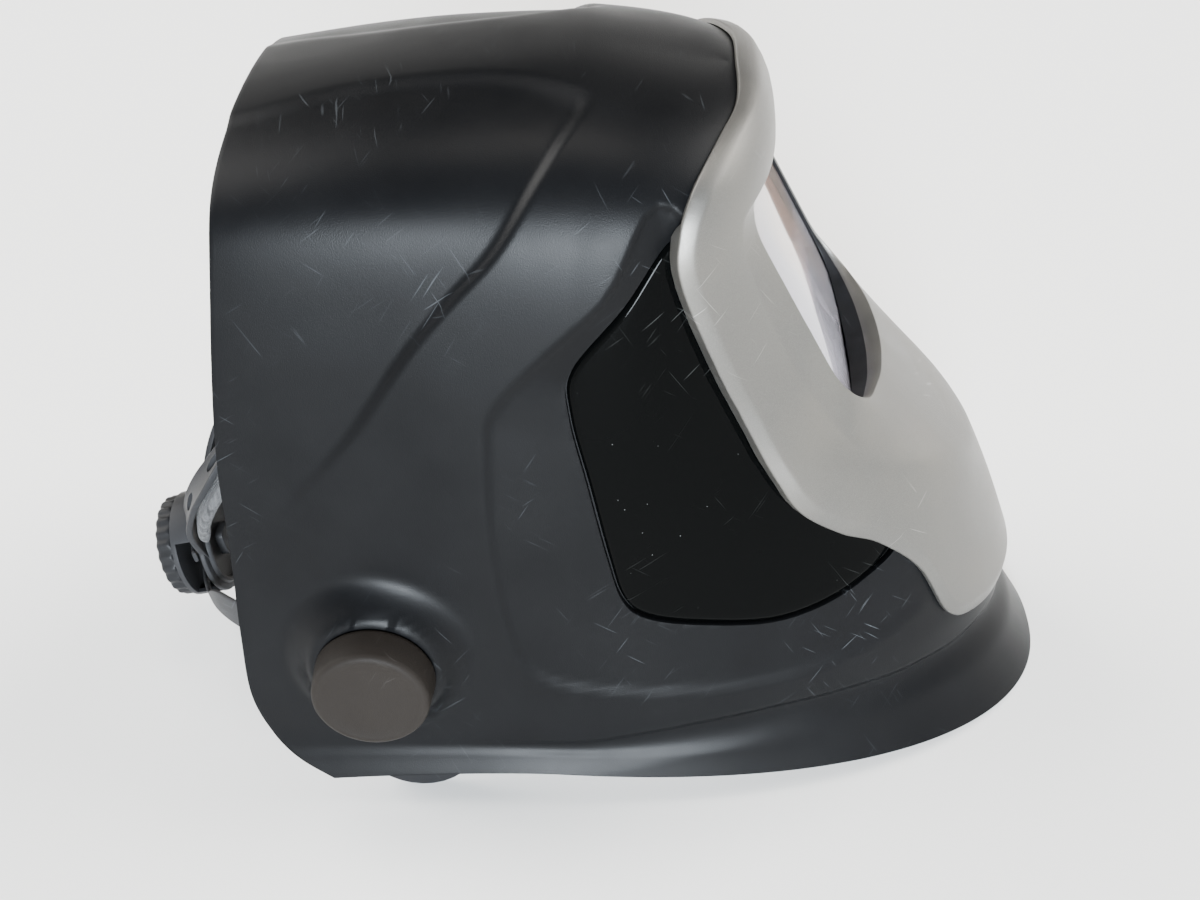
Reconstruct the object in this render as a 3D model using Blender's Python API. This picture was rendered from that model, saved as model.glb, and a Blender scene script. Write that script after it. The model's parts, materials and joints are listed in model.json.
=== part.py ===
"""Auto-darkening welding helmet: moulded shell, snap-on front cover, filter and adjustable head harness.

World frame: the wearer looks along -Y, their left hand is +X, +Z is up, and the floor is z = 0.
Shapes are laid out in a shell frame, in millimetres, as (x, forward, height). Forward is measured
from the rim's middle towards the chin, and height from the plane of the lower rim. The helmet
rests on the tip of its chin flange and on the lower lobes of its two harness arms, so the shell
frame is tilted a little about X.
"""

import math

import bmesh
import bpy
from mathutils import Matrix, Vector
from mathutils.bvhtree import BVHTree

MM = 0.001
GAP = 0.4

# Resting attitude
REST_TILT = math.radians(4.1)
FRAME_SHIFT = (0.0, 0.02242, 0.01598)

# Shell
SHELL_WALL = 2.6
SHELL_GRID = (24, 52)
WIDEST_AT = 10.0
ROOF_EXPONENT = 2.6
ROOF_FRONT = (57.0, 241.0)
ROOF_PEAK = 247.0
ROOF_REAR = (-107.0, 228.0)
ROOF_SHARE = 0.22
ROOF_LEAN = -0.19
FRONT_SHARE = 0.62
REAR_TAPER = 7.0
# Levels from the lower rim to the brow:
# front (forward, height), side height, rear (forward, height), half width, squareness
LEVELS = (
    (205, 0, 0, -74, -8, 104.0, 2.25),
    (195, 15, 6, -87, -1, 101.5, 2.20),
    (186, 32, 12, -96, 9, 99.5, 2.15),
    (182, 50, 30, -103, 28, 100.0, 2.10),
    (169, 79, 57, -105, 54, 100.0, 2.10),
    (154, 106, 83, -106, 80, 99.0, 2.05),
    (137, 127, 106, -107, 104, 98.2, 2.00),
    (117, 141, 122, -108, 121, 97.0, 2.10),
    (97, 162, 142, -108, 141, 95.0, 2.25),
    (82, 186, 166, -107, 165, 92.0, 2.35),
    (72, 206, 186, -106, 184, 88.7, 2.45),
    (71, 222, 205, -105, 203, 84.8, 2.60),
)

# Features of the shell's side, as (forward, height)
PIVOT = (-55.0, 51.0)
BOSS_SEAT = 108.0
BOSS_TOP_RADIUS = 23.0
BOSS_FOOT_RADIUS = 36.0
SIDE_RECESS = ((40, 222), (19, 193), (-13, 158), (-17, 138), (-14, 95), (-7, 60), (4, 44), (24, 39),
               (60, 38), (100, 42), (135, 53), (150, 66), (140, 90), (90, 150))
SIDE_RECESS_DEPTH = 3.2
SIDE_WINDOW = ((41, 211), (26, 190), (10, 168), (10, 152), (17, 126), (25, 96), (31, 78), (40, 70),
               (60, 66), (90, 64), (116, 72), (131, 86), (118, 104), (82, 122), (62, 160), (48, 190))
SIDE_WINDOW_WALL = 2.2

# Front cover and filter
COVER_LIFT = 1.45
COVER_FLANGE = 0.85
COVER_WALL = 2.6
LENS_FOOT = (106.0, 138.0)
LENS_LEAN = math.radians(31.0)
WINDOW_MIDDLE = 40.0
PLATE_SIZE = (114.0, 102.0)
PLATE_WALL = 1.4
HOUSING_SIZE = (108.0, 96.0, 20.0)
GLASS_SIZE = (76.0, 54.0)
GLASS_RISE = 45.0
BUTTON_TRAVEL = 0.8
BUTTON_HEIGHT = 4.2
BUTTON_SOCKET = 4.0
DRAWER_RISE = 10.0
# Half outlines of the cover from the middle of the brow to the middle of the chin
COVER_EDGE = ((0, 60, 241), (30, 60, 240), (50, 54, 236), (66, 48, 230), (74, 45, 224), (80, 43, 215),
              (84, 45, 200), (84, 60, 168), (84, 70, 150), (83, 82, 126), (82, 92, 111), (76, 107, 99),
              (70, 122, 91), (62, 140, 74), (55, 154, 48), (40, 166, 42), (20, 176, 42), (0, 180, 43))
COVER_CREASE = ((0, 76, 222), (22, 75, 221), (42, 70, 219), (55, 63, 216), (59, 60, 214), (61, 59, 211),
                (62, 60, 203), (62, 69, 184), (61, 80, 163), (60, 92, 143), (58, 105, 124), (54, 114, 115),
                (46, 124, 109), (36, 134, 104), (26, 144, 99), (18, 150, 95), (9, 154, 93), (0, 155, 92))
# Half outline of the opening, as (x, rise up the lens, height above the lens)
COVER_OPENING = ((0, 88, 15), (22, 88, 14), (40, 87, 9), (50, 84, 5), (52.5, 82, 4), (54, 79, 3),
                 (55, 72, 2.2), (55, 52, 2), (55, 32, 2), (55, 14, 2.2), (54, 5, 4), (51, -1, 6),
                 (46, -5, 8), (38, -7, 10), (28, -9, 12), (19, -10, 13), (9, -11, 13.6), (0, -11, 13.8))

# Harness, measured from the tilt pivot as (forward, height)
ARM_FACE = 94.6
ARM_WALL = 3.0
HUB_RADIUS = 24.0
LOBE_AT = (12.0, -48.0)
LOBE_RADIUS = 22.0
BAND_MIDDLE = (6.0, -6.5)
BAND_SLOPE = math.radians(14.8)
BAND_HALF_WIDTH = 76.0
BAND_HALF_LENGTH = 99.0
BAND_WALL = 2.0
TAIL_TURN = math.radians(101.0)
RACK_LIFT = 6.8
CRADLE_ARCH = ((13, -85, -24), (18, -88, -12), (24, -87, 0), (29, -82, 14), (30, -74, 28), (23, -65, 41),
               (12, -58, 50), (0, -55, 53))
CROWN_TOPS = ((30.0, 104.0), (-28.0, 102.0))
CROWN_TURNS = (math.radians(56.0), math.radians(90.0))
KNOB_RADIUS = 21.5
KNOB_DEPTH = 14.0
DIAL_RADIUS = 22.0
PINION_RADIUS = 3.8


def at(x, forward, height):
    """A point of the shell frame in metres."""
    return Vector((x, -forward, height)) * MM


# ---------------------------------------------------------------- scene helpers


def clear_scene():
    for obj in list(bpy.data.objects):
        bpy.data.objects.remove(obj, do_unlink=True)


def material(name, colour, roughness, metallic=0.0, transmission=0.0):
    mat = bpy.data.materials.new(name)
    mat.use_nodes = True
    shader = mat.node_tree.nodes["Principled BSDF"]
    shader.inputs["Base Color"].default_value = (*colour, 1.0)
    shader.inputs["Roughness"].default_value = roughness
    shader.inputs["Metallic"].default_value = metallic
    shader.inputs["Transmission Weight"].default_value = transmission
    return mat


def empty(name, location, parent=None, rotation=0.0):
    marker = bpy.data.objects.new(name, None)
    bpy.context.scene.collection.objects.link(marker)
    marker.parent = parent
    marker.location = location
    marker.rotation_euler = (rotation, 0.0, 0.0)
    return marker


def add_object(name, bm, mat=None, parent=None, origin=None):
    """Turns a bmesh laid out in the shell frame into an object whose origin is at the given point."""
    bmesh.ops.recalc_face_normals(bm, faces=bm.faces)
    if origin is not None:
        bmesh.ops.translate(bm, vec=-origin, verts=bm.verts)
    mesh = bpy.data.meshes.new(name)
    bm.to_mesh(mesh)
    bm.free()
    obj = bpy.data.objects.new(name, mesh)
    bpy.context.scene.collection.objects.link(obj)
    if mat is not None:
        mesh.materials.append(mat)
    obj.parent = parent
    if origin is not None:
        obj.location = origin
    return obj


def boolean(obj, other, operation="DIFFERENCE"):
    modifier = obj.modifiers.new(other.name, "BOOLEAN")
    modifier.operation = operation
    modifier.object = other
    modifier.solver = "EXACT"
    other.hide_render = True
    other.display_type = "WIRE"


def bevel(obj, width, segments=2, angle=40.0):
    modifier = obj.modifiers.new("edges", "BEVEL")
    modifier.width = width * MM
    modifier.segments = segments
    modifier.limit_method = "ANGLE"
    modifier.angle_limit = math.radians(angle)


def loft(bm, rings, cap=True):
    """Joins closed rings of points, in order, and closes both ends."""
    made = [[bm.verts.new(point) for point in ring] for ring in rings]
    count = len(made[0])
    for lower, upper in zip(made, made[1:]):
        for i in range(count):
            j = (i + 1) % count
            bm.faces.new((lower[i], lower[j], upper[j], upper[i]))
    if cap:
        bm.faces.new(list(reversed(made[0])))
        bm.faces.new(made[-1])
    return made


def circle(radius, count, turn=0.0):
    return [
        (radius * math.cos(turn + 2 * math.pi * i / count), radius * math.sin(turn + 2 * math.pi * i / count))
        for i in range(count)
    ]


def lathe_x(centre, profile, count=40):
    """A solid of revolution about X. The profile is a list of (x, radius) from one end to the other."""
    bm = bmesh.new()
    forward, height = centre
    rings = [
        [at(x, forward + a, height + b) for a, b in circle(radius, count)]
        for x, radius in profile
    ]
    loft(bm, rings)
    return bm


def prism(outline, low, high):
    """Extrudes a (forward, height) outline from x = low to x = high."""
    bm = bmesh.new()
    loft(bm, [[at(x, f, h) for f, h in outline] for x in (low, high)])
    return bm


def box(size, frame):
    """A box of the given full size in millimetres, centred on a frame matrix."""
    bm = bmesh.new()
    scale = Matrix.Diagonal((*(s * MM for s in size), 1.0))
    bmesh.ops.create_cube(bm, size=1.0, matrix=frame @ scale)
    return bm


def rod(radius, length, frame, count=24):
    """A cylinder along the frame's own Z, centred on it."""
    bm = bmesh.new()
    bmesh.ops.create_cone(
        bm, cap_ends=True, segments=count, radius1=radius * MM, radius2=radius * MM, depth=length * MM,
        matrix=frame,
    )
    return bm


# ---------------------------------------------------------------- shell surface


def smooth(value):
    value = min(1.0, max(0.0, value))
    return value * value * (3 - 2 * value)


def level_values(t):
    """The shell's level at t, from 0 at the lower rim to 1 at the roof's middle line."""
    share = min(t / (1 - ROOF_SHARE), 1.0)
    place = share * (len(LEVELS) - 1)
    i = min(int(place), len(LEVELS) - 2)
    u = place - i
    rows = [LEVELS[max(0, min(len(LEVELS) - 1, i + k))] for k in (-1, 0, 1, 2)]
    values = [
        b + 0.5 * u * (c - a + u * (2 * a - 5 * b + 4 * c - d + u * (3 * (b - c) + d - a)))
        for a, b, c, d in zip(*rows)
    ]
    turn = max(0.0, (t - (1 - ROOF_SHARE)) / ROOF_SHARE) * math.pi / 2
    rise = math.sin(turn) ** (2 / ROOF_EXPONENT)
    front_f, front_h, side_h, rear_f, rear_h, half_width, squareness = values
    half_width += ROOF_LEAN * (ROOF_PEAK - side_h) * rise
    front_f += (ROOF_FRONT[0] - front_f) * (1 - math.cos(turn))
    front_h += (ROOF_FRONT[1] - front_h) * rise
    side_h += (ROOF_PEAK - side_h) * rise
    rear_f += (ROOF_REAR[0] - rear_f) * rise
    rear_h += (ROOF_REAR[1] - rear_h) * rise
    half_width *= math.cos(turn) ** (2 / ROOF_EXPONENT) if turn < math.pi / 2 else 0.0
    return front_f, front_h, side_h, rear_f, rear_h, half_width, squareness


def inside_distance(f, h, outline):
    """Signed distance from a point to a polygon, positive inside."""
    nearest = 1e9
    inside = False
    for i, (f1, h1) in enumerate(outline):
        f2, h2 = outline[i - 1]
        df, dh = f2 - f1, h2 - h1
        along = max(0.0, min(1.0, ((f - f1) * df + (h - h1) * dh) / (df * df + dh * dh)))
        nearest = min(nearest, math.hypot(f - f1 - along * df, h - h1 - along * dh))
        if (h1 > h) != (h2 > h) and f < f1 + (h - h1) * df / dh:
            inside = not inside
    return nearest if inside else -nearest


def shell_point(t, s):
    """A point of the shell's outer face. s runs from -1 at the right rear edge to 1 at the left one."""
    front_f, front_h, side_h, rear_f, rear_h, half_width, squareness = level_values(t)
    side = abs(s)
    if side < FRONT_SHARE:
        turn = side / FRONT_SHARE * math.pi / 2
        x = half_width * math.sin(turn) ** (2 / squareness)
        reach = math.cos(turn) ** (2 / squareness) if turn < math.pi / 2 else 0.0
        forward = WIDEST_AT + (front_f - WIDEST_AT) * reach
        height = side_h + (front_h - side_h) * reach**1.2
    else:
        reach = (side - FRONT_SHARE) / (1 - FRONT_SHARE)
        x = half_width - min(half_width, REAR_TAPER * smooth(side_h / 120) * reach**2)
        forward = WIDEST_AT + (rear_f - WIDEST_AT) * reach
        height = side_h + (rear_h - side_h) * reach**1.5
    x = shaped_side(x, forward, height)
    return at(math.copysign(x, s), forward, height)


def shaped_side(x, forward, height):
    """Adds the window recess and the pivot boss to the side of the shell."""
    if x < 55:
        return x
    fade = smooth((x - 55) / 20)
    x -= SIDE_RECESS_DEPTH * fade * smooth(inside_distance(forward, height, SIDE_RECESS) / 7)
    radius = math.hypot(forward - PIVOT[0], height - PIVOT[1])
    seat = smooth((BOSS_FOOT_RADIUS - radius) / (BOSS_FOOT_RADIUS - BOSS_TOP_RADIUS))
    return x + (BOSS_SEAT - x) * seat


def shell_sheet(level_count, column_count):
    """The shell's outer face as an open sheet, zipped together along the roof's middle line."""
    bm = bmesh.new()
    rows = []
    for i in range(level_count + 1):
        t = i / level_count
        row = [bm.verts.new(shell_point(t, 2 * j / column_count - 1)) for j in range(column_count + 1)]
        rows.append(row)
    for lower, upper in zip(rows, rows[1:]):
        for j in range(column_count):
            bm.faces.new((lower[j], lower[j + 1], upper[j + 1], upper[j]))
    bmesh.ops.remove_doubles(bm, verts=bm.verts, dist=1e-5)
    bmesh.ops.recalc_face_normals(bm, faces=bm.faces)
    return bm


def shell_tree():
    sheet = shell_sheet(*SHELL_GRID)
    tree = BVHTree.FromBMesh(sheet)
    sheet.free()
    return tree


def side_hit(tree, forward, height, side, lift):
    """The point at (forward, height) on one side of the shell, lifted outwards by a distance."""
    start = at(side * 160, forward, height)
    hit = tree.ray_cast(start, Vector((-side, 0, 0)))[0]
    return hit + Vector((side * lift * MM, 0, 0))


def front_hit(tree, x, forward, height, lift):
    """The nearest point of the shell's front, lifted along the surface's normal."""
    near, normal, _, _ = tree.find_nearest(at(x, forward, height))
    outward = normal if normal.dot(near - at(0, -20, 100)) > 0 else -normal
    return near + outward * lift * MM


# ---------------------------------------------------------------- shell group


def lens_frame(rise=0.0, depth=0.0, x=0.0):
    """A frame in the window: X across, Y up the slope, Z out of the window. Millimetres from its foot."""
    up = Vector((0, math.sin(LENS_LEAN), math.cos(LENS_LEAN)))
    out = Vector((0, -math.cos(LENS_LEAN), math.sin(LENS_LEAN)))
    across = up.cross(out)
    place = at(0, *LENS_FOOT) + (across * x + up * rise + out * depth) * MM
    return Matrix.Translation(place) @ Matrix((across, up, out)).transposed().to_4x4()


def whole(half):
    """A closed loop from a half outline that starts and ends on the middle plane."""
    return list(half) + [(-point[0], *point[1:]) for point in reversed(half[1:-1])]


def window_cutter():
    """The shell's window opening, just outside the cover's crease, extruded along the line of sight."""
    out = Vector((0, -math.cos(LENS_LEAN), math.sin(LENS_LEAN)))
    outline = [
        at(*(a + (b - a) * COVER_FLANGE for a, b in zip(outer, inner)))
        for outer, inner in zip(whole(COVER_EDGE), whole(COVER_CREASE))
    ]
    bm = bmesh.new()
    loft(bm, [[point + out * reach * MM for point in outline] for reach in (-45, 45)])
    return bm


def make_shell(mat, frame):
    bm = shell_sheet(*SHELL_GRID)
    shell = add_object("helmet_shell", bm, mat, frame)
    wall = shell.modifiers.new("wall", "SOLIDIFY")
    wall.thickness = SHELL_WALL * MM
    wall.offset = -1.0
    boolean(shell, add_object("window_cutter", window_cutter(), None, frame))
    for side, name in ((-1, "right"), (1, "left")):
        low, high = sorted((side * 45, side * 130))
        boolean(shell, add_object(f"side_cutter_{name}", prism(SIDE_WINDOW, low, high), None, frame))
        hole = lathe_x(PIVOT, ((min(low, high), 5.5), (max(low, high), 5.5)), 24)
        boolean(shell, add_object(f"stud_cutter_{name}", hole, None, frame))
    return shell


def middle_of(outline):
    return sum(f for f, _ in outline) / len(outline), sum(h for _, h in outline) / len(outline)


def scaled(outline, shrink):
    """An outline moved inwards by about a distance, by scaling it about its middle."""
    f0, h0 = middle_of(outline)
    moved = []
    for f, h in outline:
        share = 1 - shrink / math.hypot(f - f0, h - h0)
        moved.append((f0 + (f - f0) * share, h0 + (h - h0) * share))
    return moved


def make_side_windows(mat, tree, frame):
    outline = scaled(SIDE_WINDOW, 2.0)
    f0, h0 = middle_of(outline)
    for side, name in ((-1, "right"), (1, "left")):
        bm = bmesh.new()
        outer, inner = [
            [
                [side_hit(tree, f0 + (f - f0) * share, h0 + (h - h0) * share, side, lift) for f, h in outline]
                for share in (0.02, 0.35, 0.7, 1.0)
            ]
            for lift in (-0.8, -0.8 - SIDE_WINDOW_WALL)
        ]
        loft(bm, outer + list(reversed(inner)))
        add_object(f"side_window_{name}", bm, mat, frame)


def make_front_cover(mat, tree, frame):
    """A closed ring of strips: outer edge, chamfer, crease, sloping wall, opening, and back underneath."""
    edge, crease, opening = whole(COVER_EDGE), whole(COVER_CREASE), whole(COVER_OPENING)

    def over_shell(blend, lift):
        return [
            front_hit(tree, *(a + (b - a) * blend for a, b in zip(outer, inner)), lift)
            for outer, inner in zip(edge, crease)
        ]

    def in_window(share, grow=0.0):
        return [
            lens_frame(
                WINDOW_MIDDLE + (rise - WINDOW_MIDDLE) * (1 + grow / 48), 0.6 + (depth - 0.6) * share,
                x * (1 + grow / 55),
            ).to_translation()
            for x, rise, depth in opening
        ]

    top = COVER_LIFT + COVER_WALL
    strips = (0.10, 0.25, 0.42, 0.6, 0.8)
    rings = [over_shell(0.0, COVER_LIFT), over_shell(0.0, top - 0.8)]
    rings += [over_shell(blend, top) for blend in (*strips, 1.0)]
    rings += [in_window(1.0), in_window(0.0), in_window(0.0, 2.0), in_window(0.8, 2.0)]
    rings += [over_shell(blend, COVER_LIFT) for blend in (0.97, *reversed(strips))]
    bm = bmesh.new()
    loft(bm, rings + rings[:1], cap=False)
    bmesh.ops.remove_doubles(bm, verts=bm.verts, dist=1e-6)
    return add_object("front_cover", bm, mat, frame)


def make_filter(mats, frame):
    """The filter cassette behind the window, with its plates, sensors, controls and batteries."""
    width, height, depth = HOUSING_SIZE
    front = -PLATE_WALL - 2 * GAP
    back = front - depth
    plate = box((*PLATE_SIZE, PLATE_WALL), lens_frame(WINDOW_MIDDLE, -PLATE_WALL / 2))
    add_object("outer_protection_plate", plate, mats["clear"], frame)
    body = box((width, height, depth), lens_frame(WINDOW_MIDDLE, (front + back) / 2))
    housing = add_object("filter_housing", body, mats["black"], frame)
    window = box((GLASS_SIZE[0] + 1, GLASS_SIZE[1] + 1, 60), lens_frame(GLASS_RISE, front))
    boolean(housing, add_object("filter_cutter", window, None, frame))
    glass = box((*GLASS_SIZE, 6), lens_frame(GLASS_RISE, front - 3.6))
    add_object("filter_glass", glass, mats["filter"], frame)
    ledge = box((GLASS_SIZE[0] + 9, GLASS_SIZE[1] + 9, 4), lens_frame(GLASS_RISE, back))
    boolean(housing, add_object("inner_plate_cutter", ledge, None, frame))
    inner = box((GLASS_SIZE[0] + 8, GLASS_SIZE[1] + 8, 1.2), lens_frame(GLASS_RISE, back + 1.0))
    add_object("inner_protection_plate", inner, mats["clear"], frame)
    make_sensors(mats["sensor"], frame, housing, front)
    make_controls(mats["grey"], frame, housing, back)
    make_batteries(mats, frame, housing, (front + back) / 2 - 1.5)


def make_sensors(mat, frame, housing, face):
    """Arc sensors in round sockets in the front of the cassette."""
    for i, (x, rise) in enumerate(((-45, 62), (45, 62), (0, 8)), 1):
        socket = rod(4.4, 6, lens_frame(rise, face, x))
        boolean(housing, add_object(f"sensor_cutter_{i}", socket, None, frame))
        add_object(f"arc_sensor_{i}", rod(4.0, 2.2, lens_frame(rise, face - 1.6, x)), mat, frame)


def make_controls(mat, frame, housing, face):
    """Three push buttons on the wearer's side of the cassette, each in a blind socket."""
    for x, name in ((-24, "shade_button"), (0, "sensitivity_button"), (24, "delay_button")):
        socket = rod(5.4, 2 * BUTTON_SOCKET, lens_frame(2, face, x))
        boolean(housing, add_object(f"{name}_cutter", socket, None, frame))
        place = lens_frame(2, face + BUTTON_SOCKET - BUTTON_TRAVEL - GAP - BUTTON_HEIGHT / 2, x)
        button = add_object(name, rod(5.0, BUTTON_HEIGHT, place), mat, frame, place.to_translation())
        bevel(button, 0.5, 1)


def make_batteries(mats, frame, housing, middle):
    """A coin cell in a drawer at each lower corner of the cassette. The drawer slides out sideways."""
    for side, name in ((-1, "right"), (1, "left")):
        slot = box((32, 23, 5.8), lens_frame(DRAWER_RISE, middle, side * 44.1))
        boolean(housing, add_object(f"battery_cutter_{name}", slot, None, frame))
        place = lens_frame(DRAWER_RISE, middle, side * 41.0)
        origin = place.to_translation()
        tray = add_object(f"battery_holder_{name}", box((25, 22, 5.0), place), mats["black"], frame, origin)
        pocket = rod(10.4, 4.0, lens_frame(DRAWER_RISE, middle + 0.8, side * 41.0), 32)
        boolean(tray, add_object(f"pocket_cutter_{name}", pocket, None, frame, origin))
        cell = rod(10.0, 3.2, lens_frame(DRAWER_RISE, middle + 0.7, side * 41.0), 32)
        add_object(f"battery_cell_{name}", cell, mats["cell"], frame, origin)


def make_pivots(mats, frame):
    """The outer knob on each side. It screws onto the harness arm's stud and clamps the shell."""
    for side, name in ((-1, "right"), (1, "left")):
        base = side * (BOSS_SEAT + GAP)
        tip = base + side * KNOB_DEPTH
        profile = (
            (base, KNOB_RADIUS - 0.4),
            (base + side * 1.2, KNOB_RADIUS),
            (tip - side * 2.0, KNOB_RADIUS - 0.9),
            (tip - side * 0.5, KNOB_RADIUS - 1.6),
            (tip, KNOB_RADIUS - 3.0),
        )
        origin = at(base, *PIVOT)
        knob = add_object(f"pivot_knob_{name}", lathe_x(PIVOT, profile, 48), mats["rubber"], frame, origin)
        bore = lathe_x(PIVOT, ((base - side * 3, 4.6), (base + side * 8, 4.6)), 24)
        boolean(knob, add_object(f"knob_cutter_{name}", bore, None, frame, origin))


# ---------------------------------------------------------------- head harness


def harness(x, forward, height):
    """A point of the harness, measured from the tilt pivot, in the shell frame in metres."""
    return at(x, PIVOT[0] + forward, PIVOT[1] + height)


def ribbon(stations, wall):
    """A strap through stations of (middle point, outward direction, width), square at both ends."""
    bm = bmesh.new()
    rings = []
    for i, (point, outward, width) in enumerate(stations):
        ahead = stations[min(i + 1, len(stations) - 1)][0] - stations[max(i - 1, 0)][0]
        across = ahead.cross(outward).normalized() * width / 2 * MM
        step = across.cross(ahead).normalized() * wall / 2 * MM
        corners = ((across, step), (across, -step), (-across, -step), (-across, step))
        rings.append([point + sideways + outwards for sideways, outwards in corners])
    loft(bm, rings)
    return bm


def band_station(turn, inset, width, lift=0.0):
    """A station on the head band's ring. turn is 0 at the forehead and grows towards the wearer's left."""
    half_width, half_length = BAND_HALF_WIDTH - inset, BAND_HALF_LENGTH - inset
    along = half_length * math.cos(turn)
    forward = BAND_MIDDLE[0] + along * math.cos(BAND_SLOPE) - lift * math.sin(BAND_SLOPE)
    height = BAND_MIDDLE[1] + along * math.sin(BAND_SLOPE) + lift * math.cos(BAND_SLOPE)
    out_x, out_along = math.sin(turn) * half_length, math.cos(turn) * half_width
    outward = Vector((out_x, -out_along * math.cos(BAND_SLOPE), out_along * math.sin(BAND_SLOPE)))
    return harness(half_width * math.sin(turn), forward, height), outward.normalized(), width


def dial_frame(out, lift=0.0, x=0.0):
    """A frame at the back of the ring: X across, Y up, Z away from the head."""
    up = Vector((0, math.sin(BAND_SLOPE), math.cos(BAND_SLOPE)))
    away = Vector((0, math.cos(BAND_SLOPE), -math.sin(BAND_SLOPE)))
    across = up.cross(away)
    centre = band_station(math.pi, 0.0, 0.0)[0]
    place = centre + (across * x + up * lift + away * out) * MM
    return Matrix.Translation(place) @ Matrix((across, up, away)).transposed().to_4x4()


def make_arms(mats, tilt):
    """A moulded arm on each side: hub at the pivot, and below it a round lobe that is also a foot."""
    origin = harness(0, 0, 0)
    lobe = (PIVOT[0] + LOBE_AT[0], PIVOT[1] + LOBE_AT[1])
    lean = math.atan2(LOBE_AT[1], LOBE_AT[0])
    outline = []
    ends = ((PIVOT, HUB_RADIUS, lean + math.pi / 2), (lobe, LOBE_RADIUS, lean - math.pi / 2))
    for centre, radius, start in ends:
        for i in range(17):
            turn = start + math.pi * i / 16
            outline.append((centre[0] + radius * math.cos(turn), centre[1] + radius * math.sin(turn)))
    for side, name in ((-1, "right"), (1, "left")):
        face = side * ARM_FACE
        back = face - side * ARM_WALL
        plate = prism(outline, *sorted((face, back)))
        arm = add_object(f"side_arm_{name}", plate, mats["black"], tilt, origin)
        bore = lathe_x(PIVOT, ((face - side * 9, 4.4), (face + side * 9, 4.4)), 24)
        bore = add_object(f"arm_cutter_{name}", bore, None, tilt, origin)
        boolean(arm, bore)
        head = back - side * GAP
        profile = ((head - side * 2.4, 7.5), (head, 7.5), (head, 4.0), (side * 112.0, 4.0))
        add_object(f"pivot_stud_{name}", lathe_x(PIVOT, profile, 24), mats["steel"], tilt, origin)
        washer = lathe_x(PIVOT, ((face + side * GAP, 14.0), (side * (BOSS_SEAT - 4.4), 11.0)), 32)
        boolean(add_object(f"friction_washer_{name}", washer, mats["grey"], tilt, origin), bore)


def make_band(mats, tilt):
    """The front of the head band with its sweatband, crown straps and distance sliders."""
    steps = 40
    stations = []
    for i in range(steps + 1):
        turn = TAIL_TURN * (2 * i / steps - 1)
        width = 16 + 10 * smooth(1 - abs(turn) / 1.3)
        stations.append(band_station(turn, 0.0, width, (width - 16) / 2))
    add_object("head_band", ribbon(stations, BAND_WALL), mats["grey"], tilt)
    pad = [band_station(math.radians(-46 + 4 * i), 4.6, 32, 4.0) for i in range(24)]
    sweatband = add_object("front_sweatband", ribbon(pad, 5.0), mats["pad"], tilt)
    bevel(sweatband, 1.6, 2)
    for name, turn, top in zip(("front", "rear"), CROWN_TURNS, CROWN_TOPS):
        foot = band_station(turn, 5.0, 0.0)[0] - harness(0, 0, 0)
        arch = []
        for i in range(25):
            swing = math.pi * (i / 24 - 0.5)
            rise = math.cos(swing)
            forward = -foot.y / MM + (top[0] + foot.y / MM) * rise
            height = foot.z / MM + (top[1] - foot.z / MM) * rise
            point = harness(foot.x / MM * math.sin(swing), forward, height)
            arch.append((point, point - harness(0, 6, 0), 14.0))
        add_object(f"crown_strap_{name}", ribbon(arch, 1.6), mats["grey"], tilt)
        peak = arch[12][0]
        along = Matrix.Translation(peak + (peak - harness(0, 6, 0)).normalized() * 3.0 * MM)
        turn_out = (peak - harness(0, 6, 0)).to_track_quat("Z", "Y").to_matrix().to_4x4()
        add_object(f"crown_pin_{name}", rod(4.5, 3.6, along @ turn_out, 20), mats["black"], tilt)
    for side, name in ((-1, "right"), (1, "left")):
        outline = [(PIVOT[0] + f, PIVOT[1] + h) for f, h in ((-14, -14), (12, -14), (12, -2), (-14, -2))]
        block = prism(outline, *sorted((side * 77.6, side * 88.0)))
        slider = add_object(f"distance_slider_{name}", block, mats["black"], tilt)
        outline = [(PIVOT[0] + f, PIVOT[1] + h) for f, h in ((-24, -19), (22, -19), (22, -10), (-24, -10))]
        plate = prism(outline, *sorted((side * 87.7, side * 91.1)))
        boolean(slider, add_object(f"slider_plate_{name}", plate, None, tilt), "UNION")


def tail_stations(side):
    """One half of the band's rear, from its living hinge to the tip of its rack inside the dial."""
    stations = []
    for i in range(27):
        turn = TAIL_TURN + math.radians(0.8 + 3.6 * i)
        narrow = smooth((math.degrees(turn) - 140) / 20)
        width = 16 - 11 * narrow
        stations.append(band_station(side * turn, 0.0, width, side * RACK_LIFT * narrow))
    return stations


def whole_arch(half):
    """Both legs of an arch from one leg that ends on the middle plane."""
    return list(half) + [(-x, f, h) for x, f, h in reversed(half[:-1])]


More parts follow.
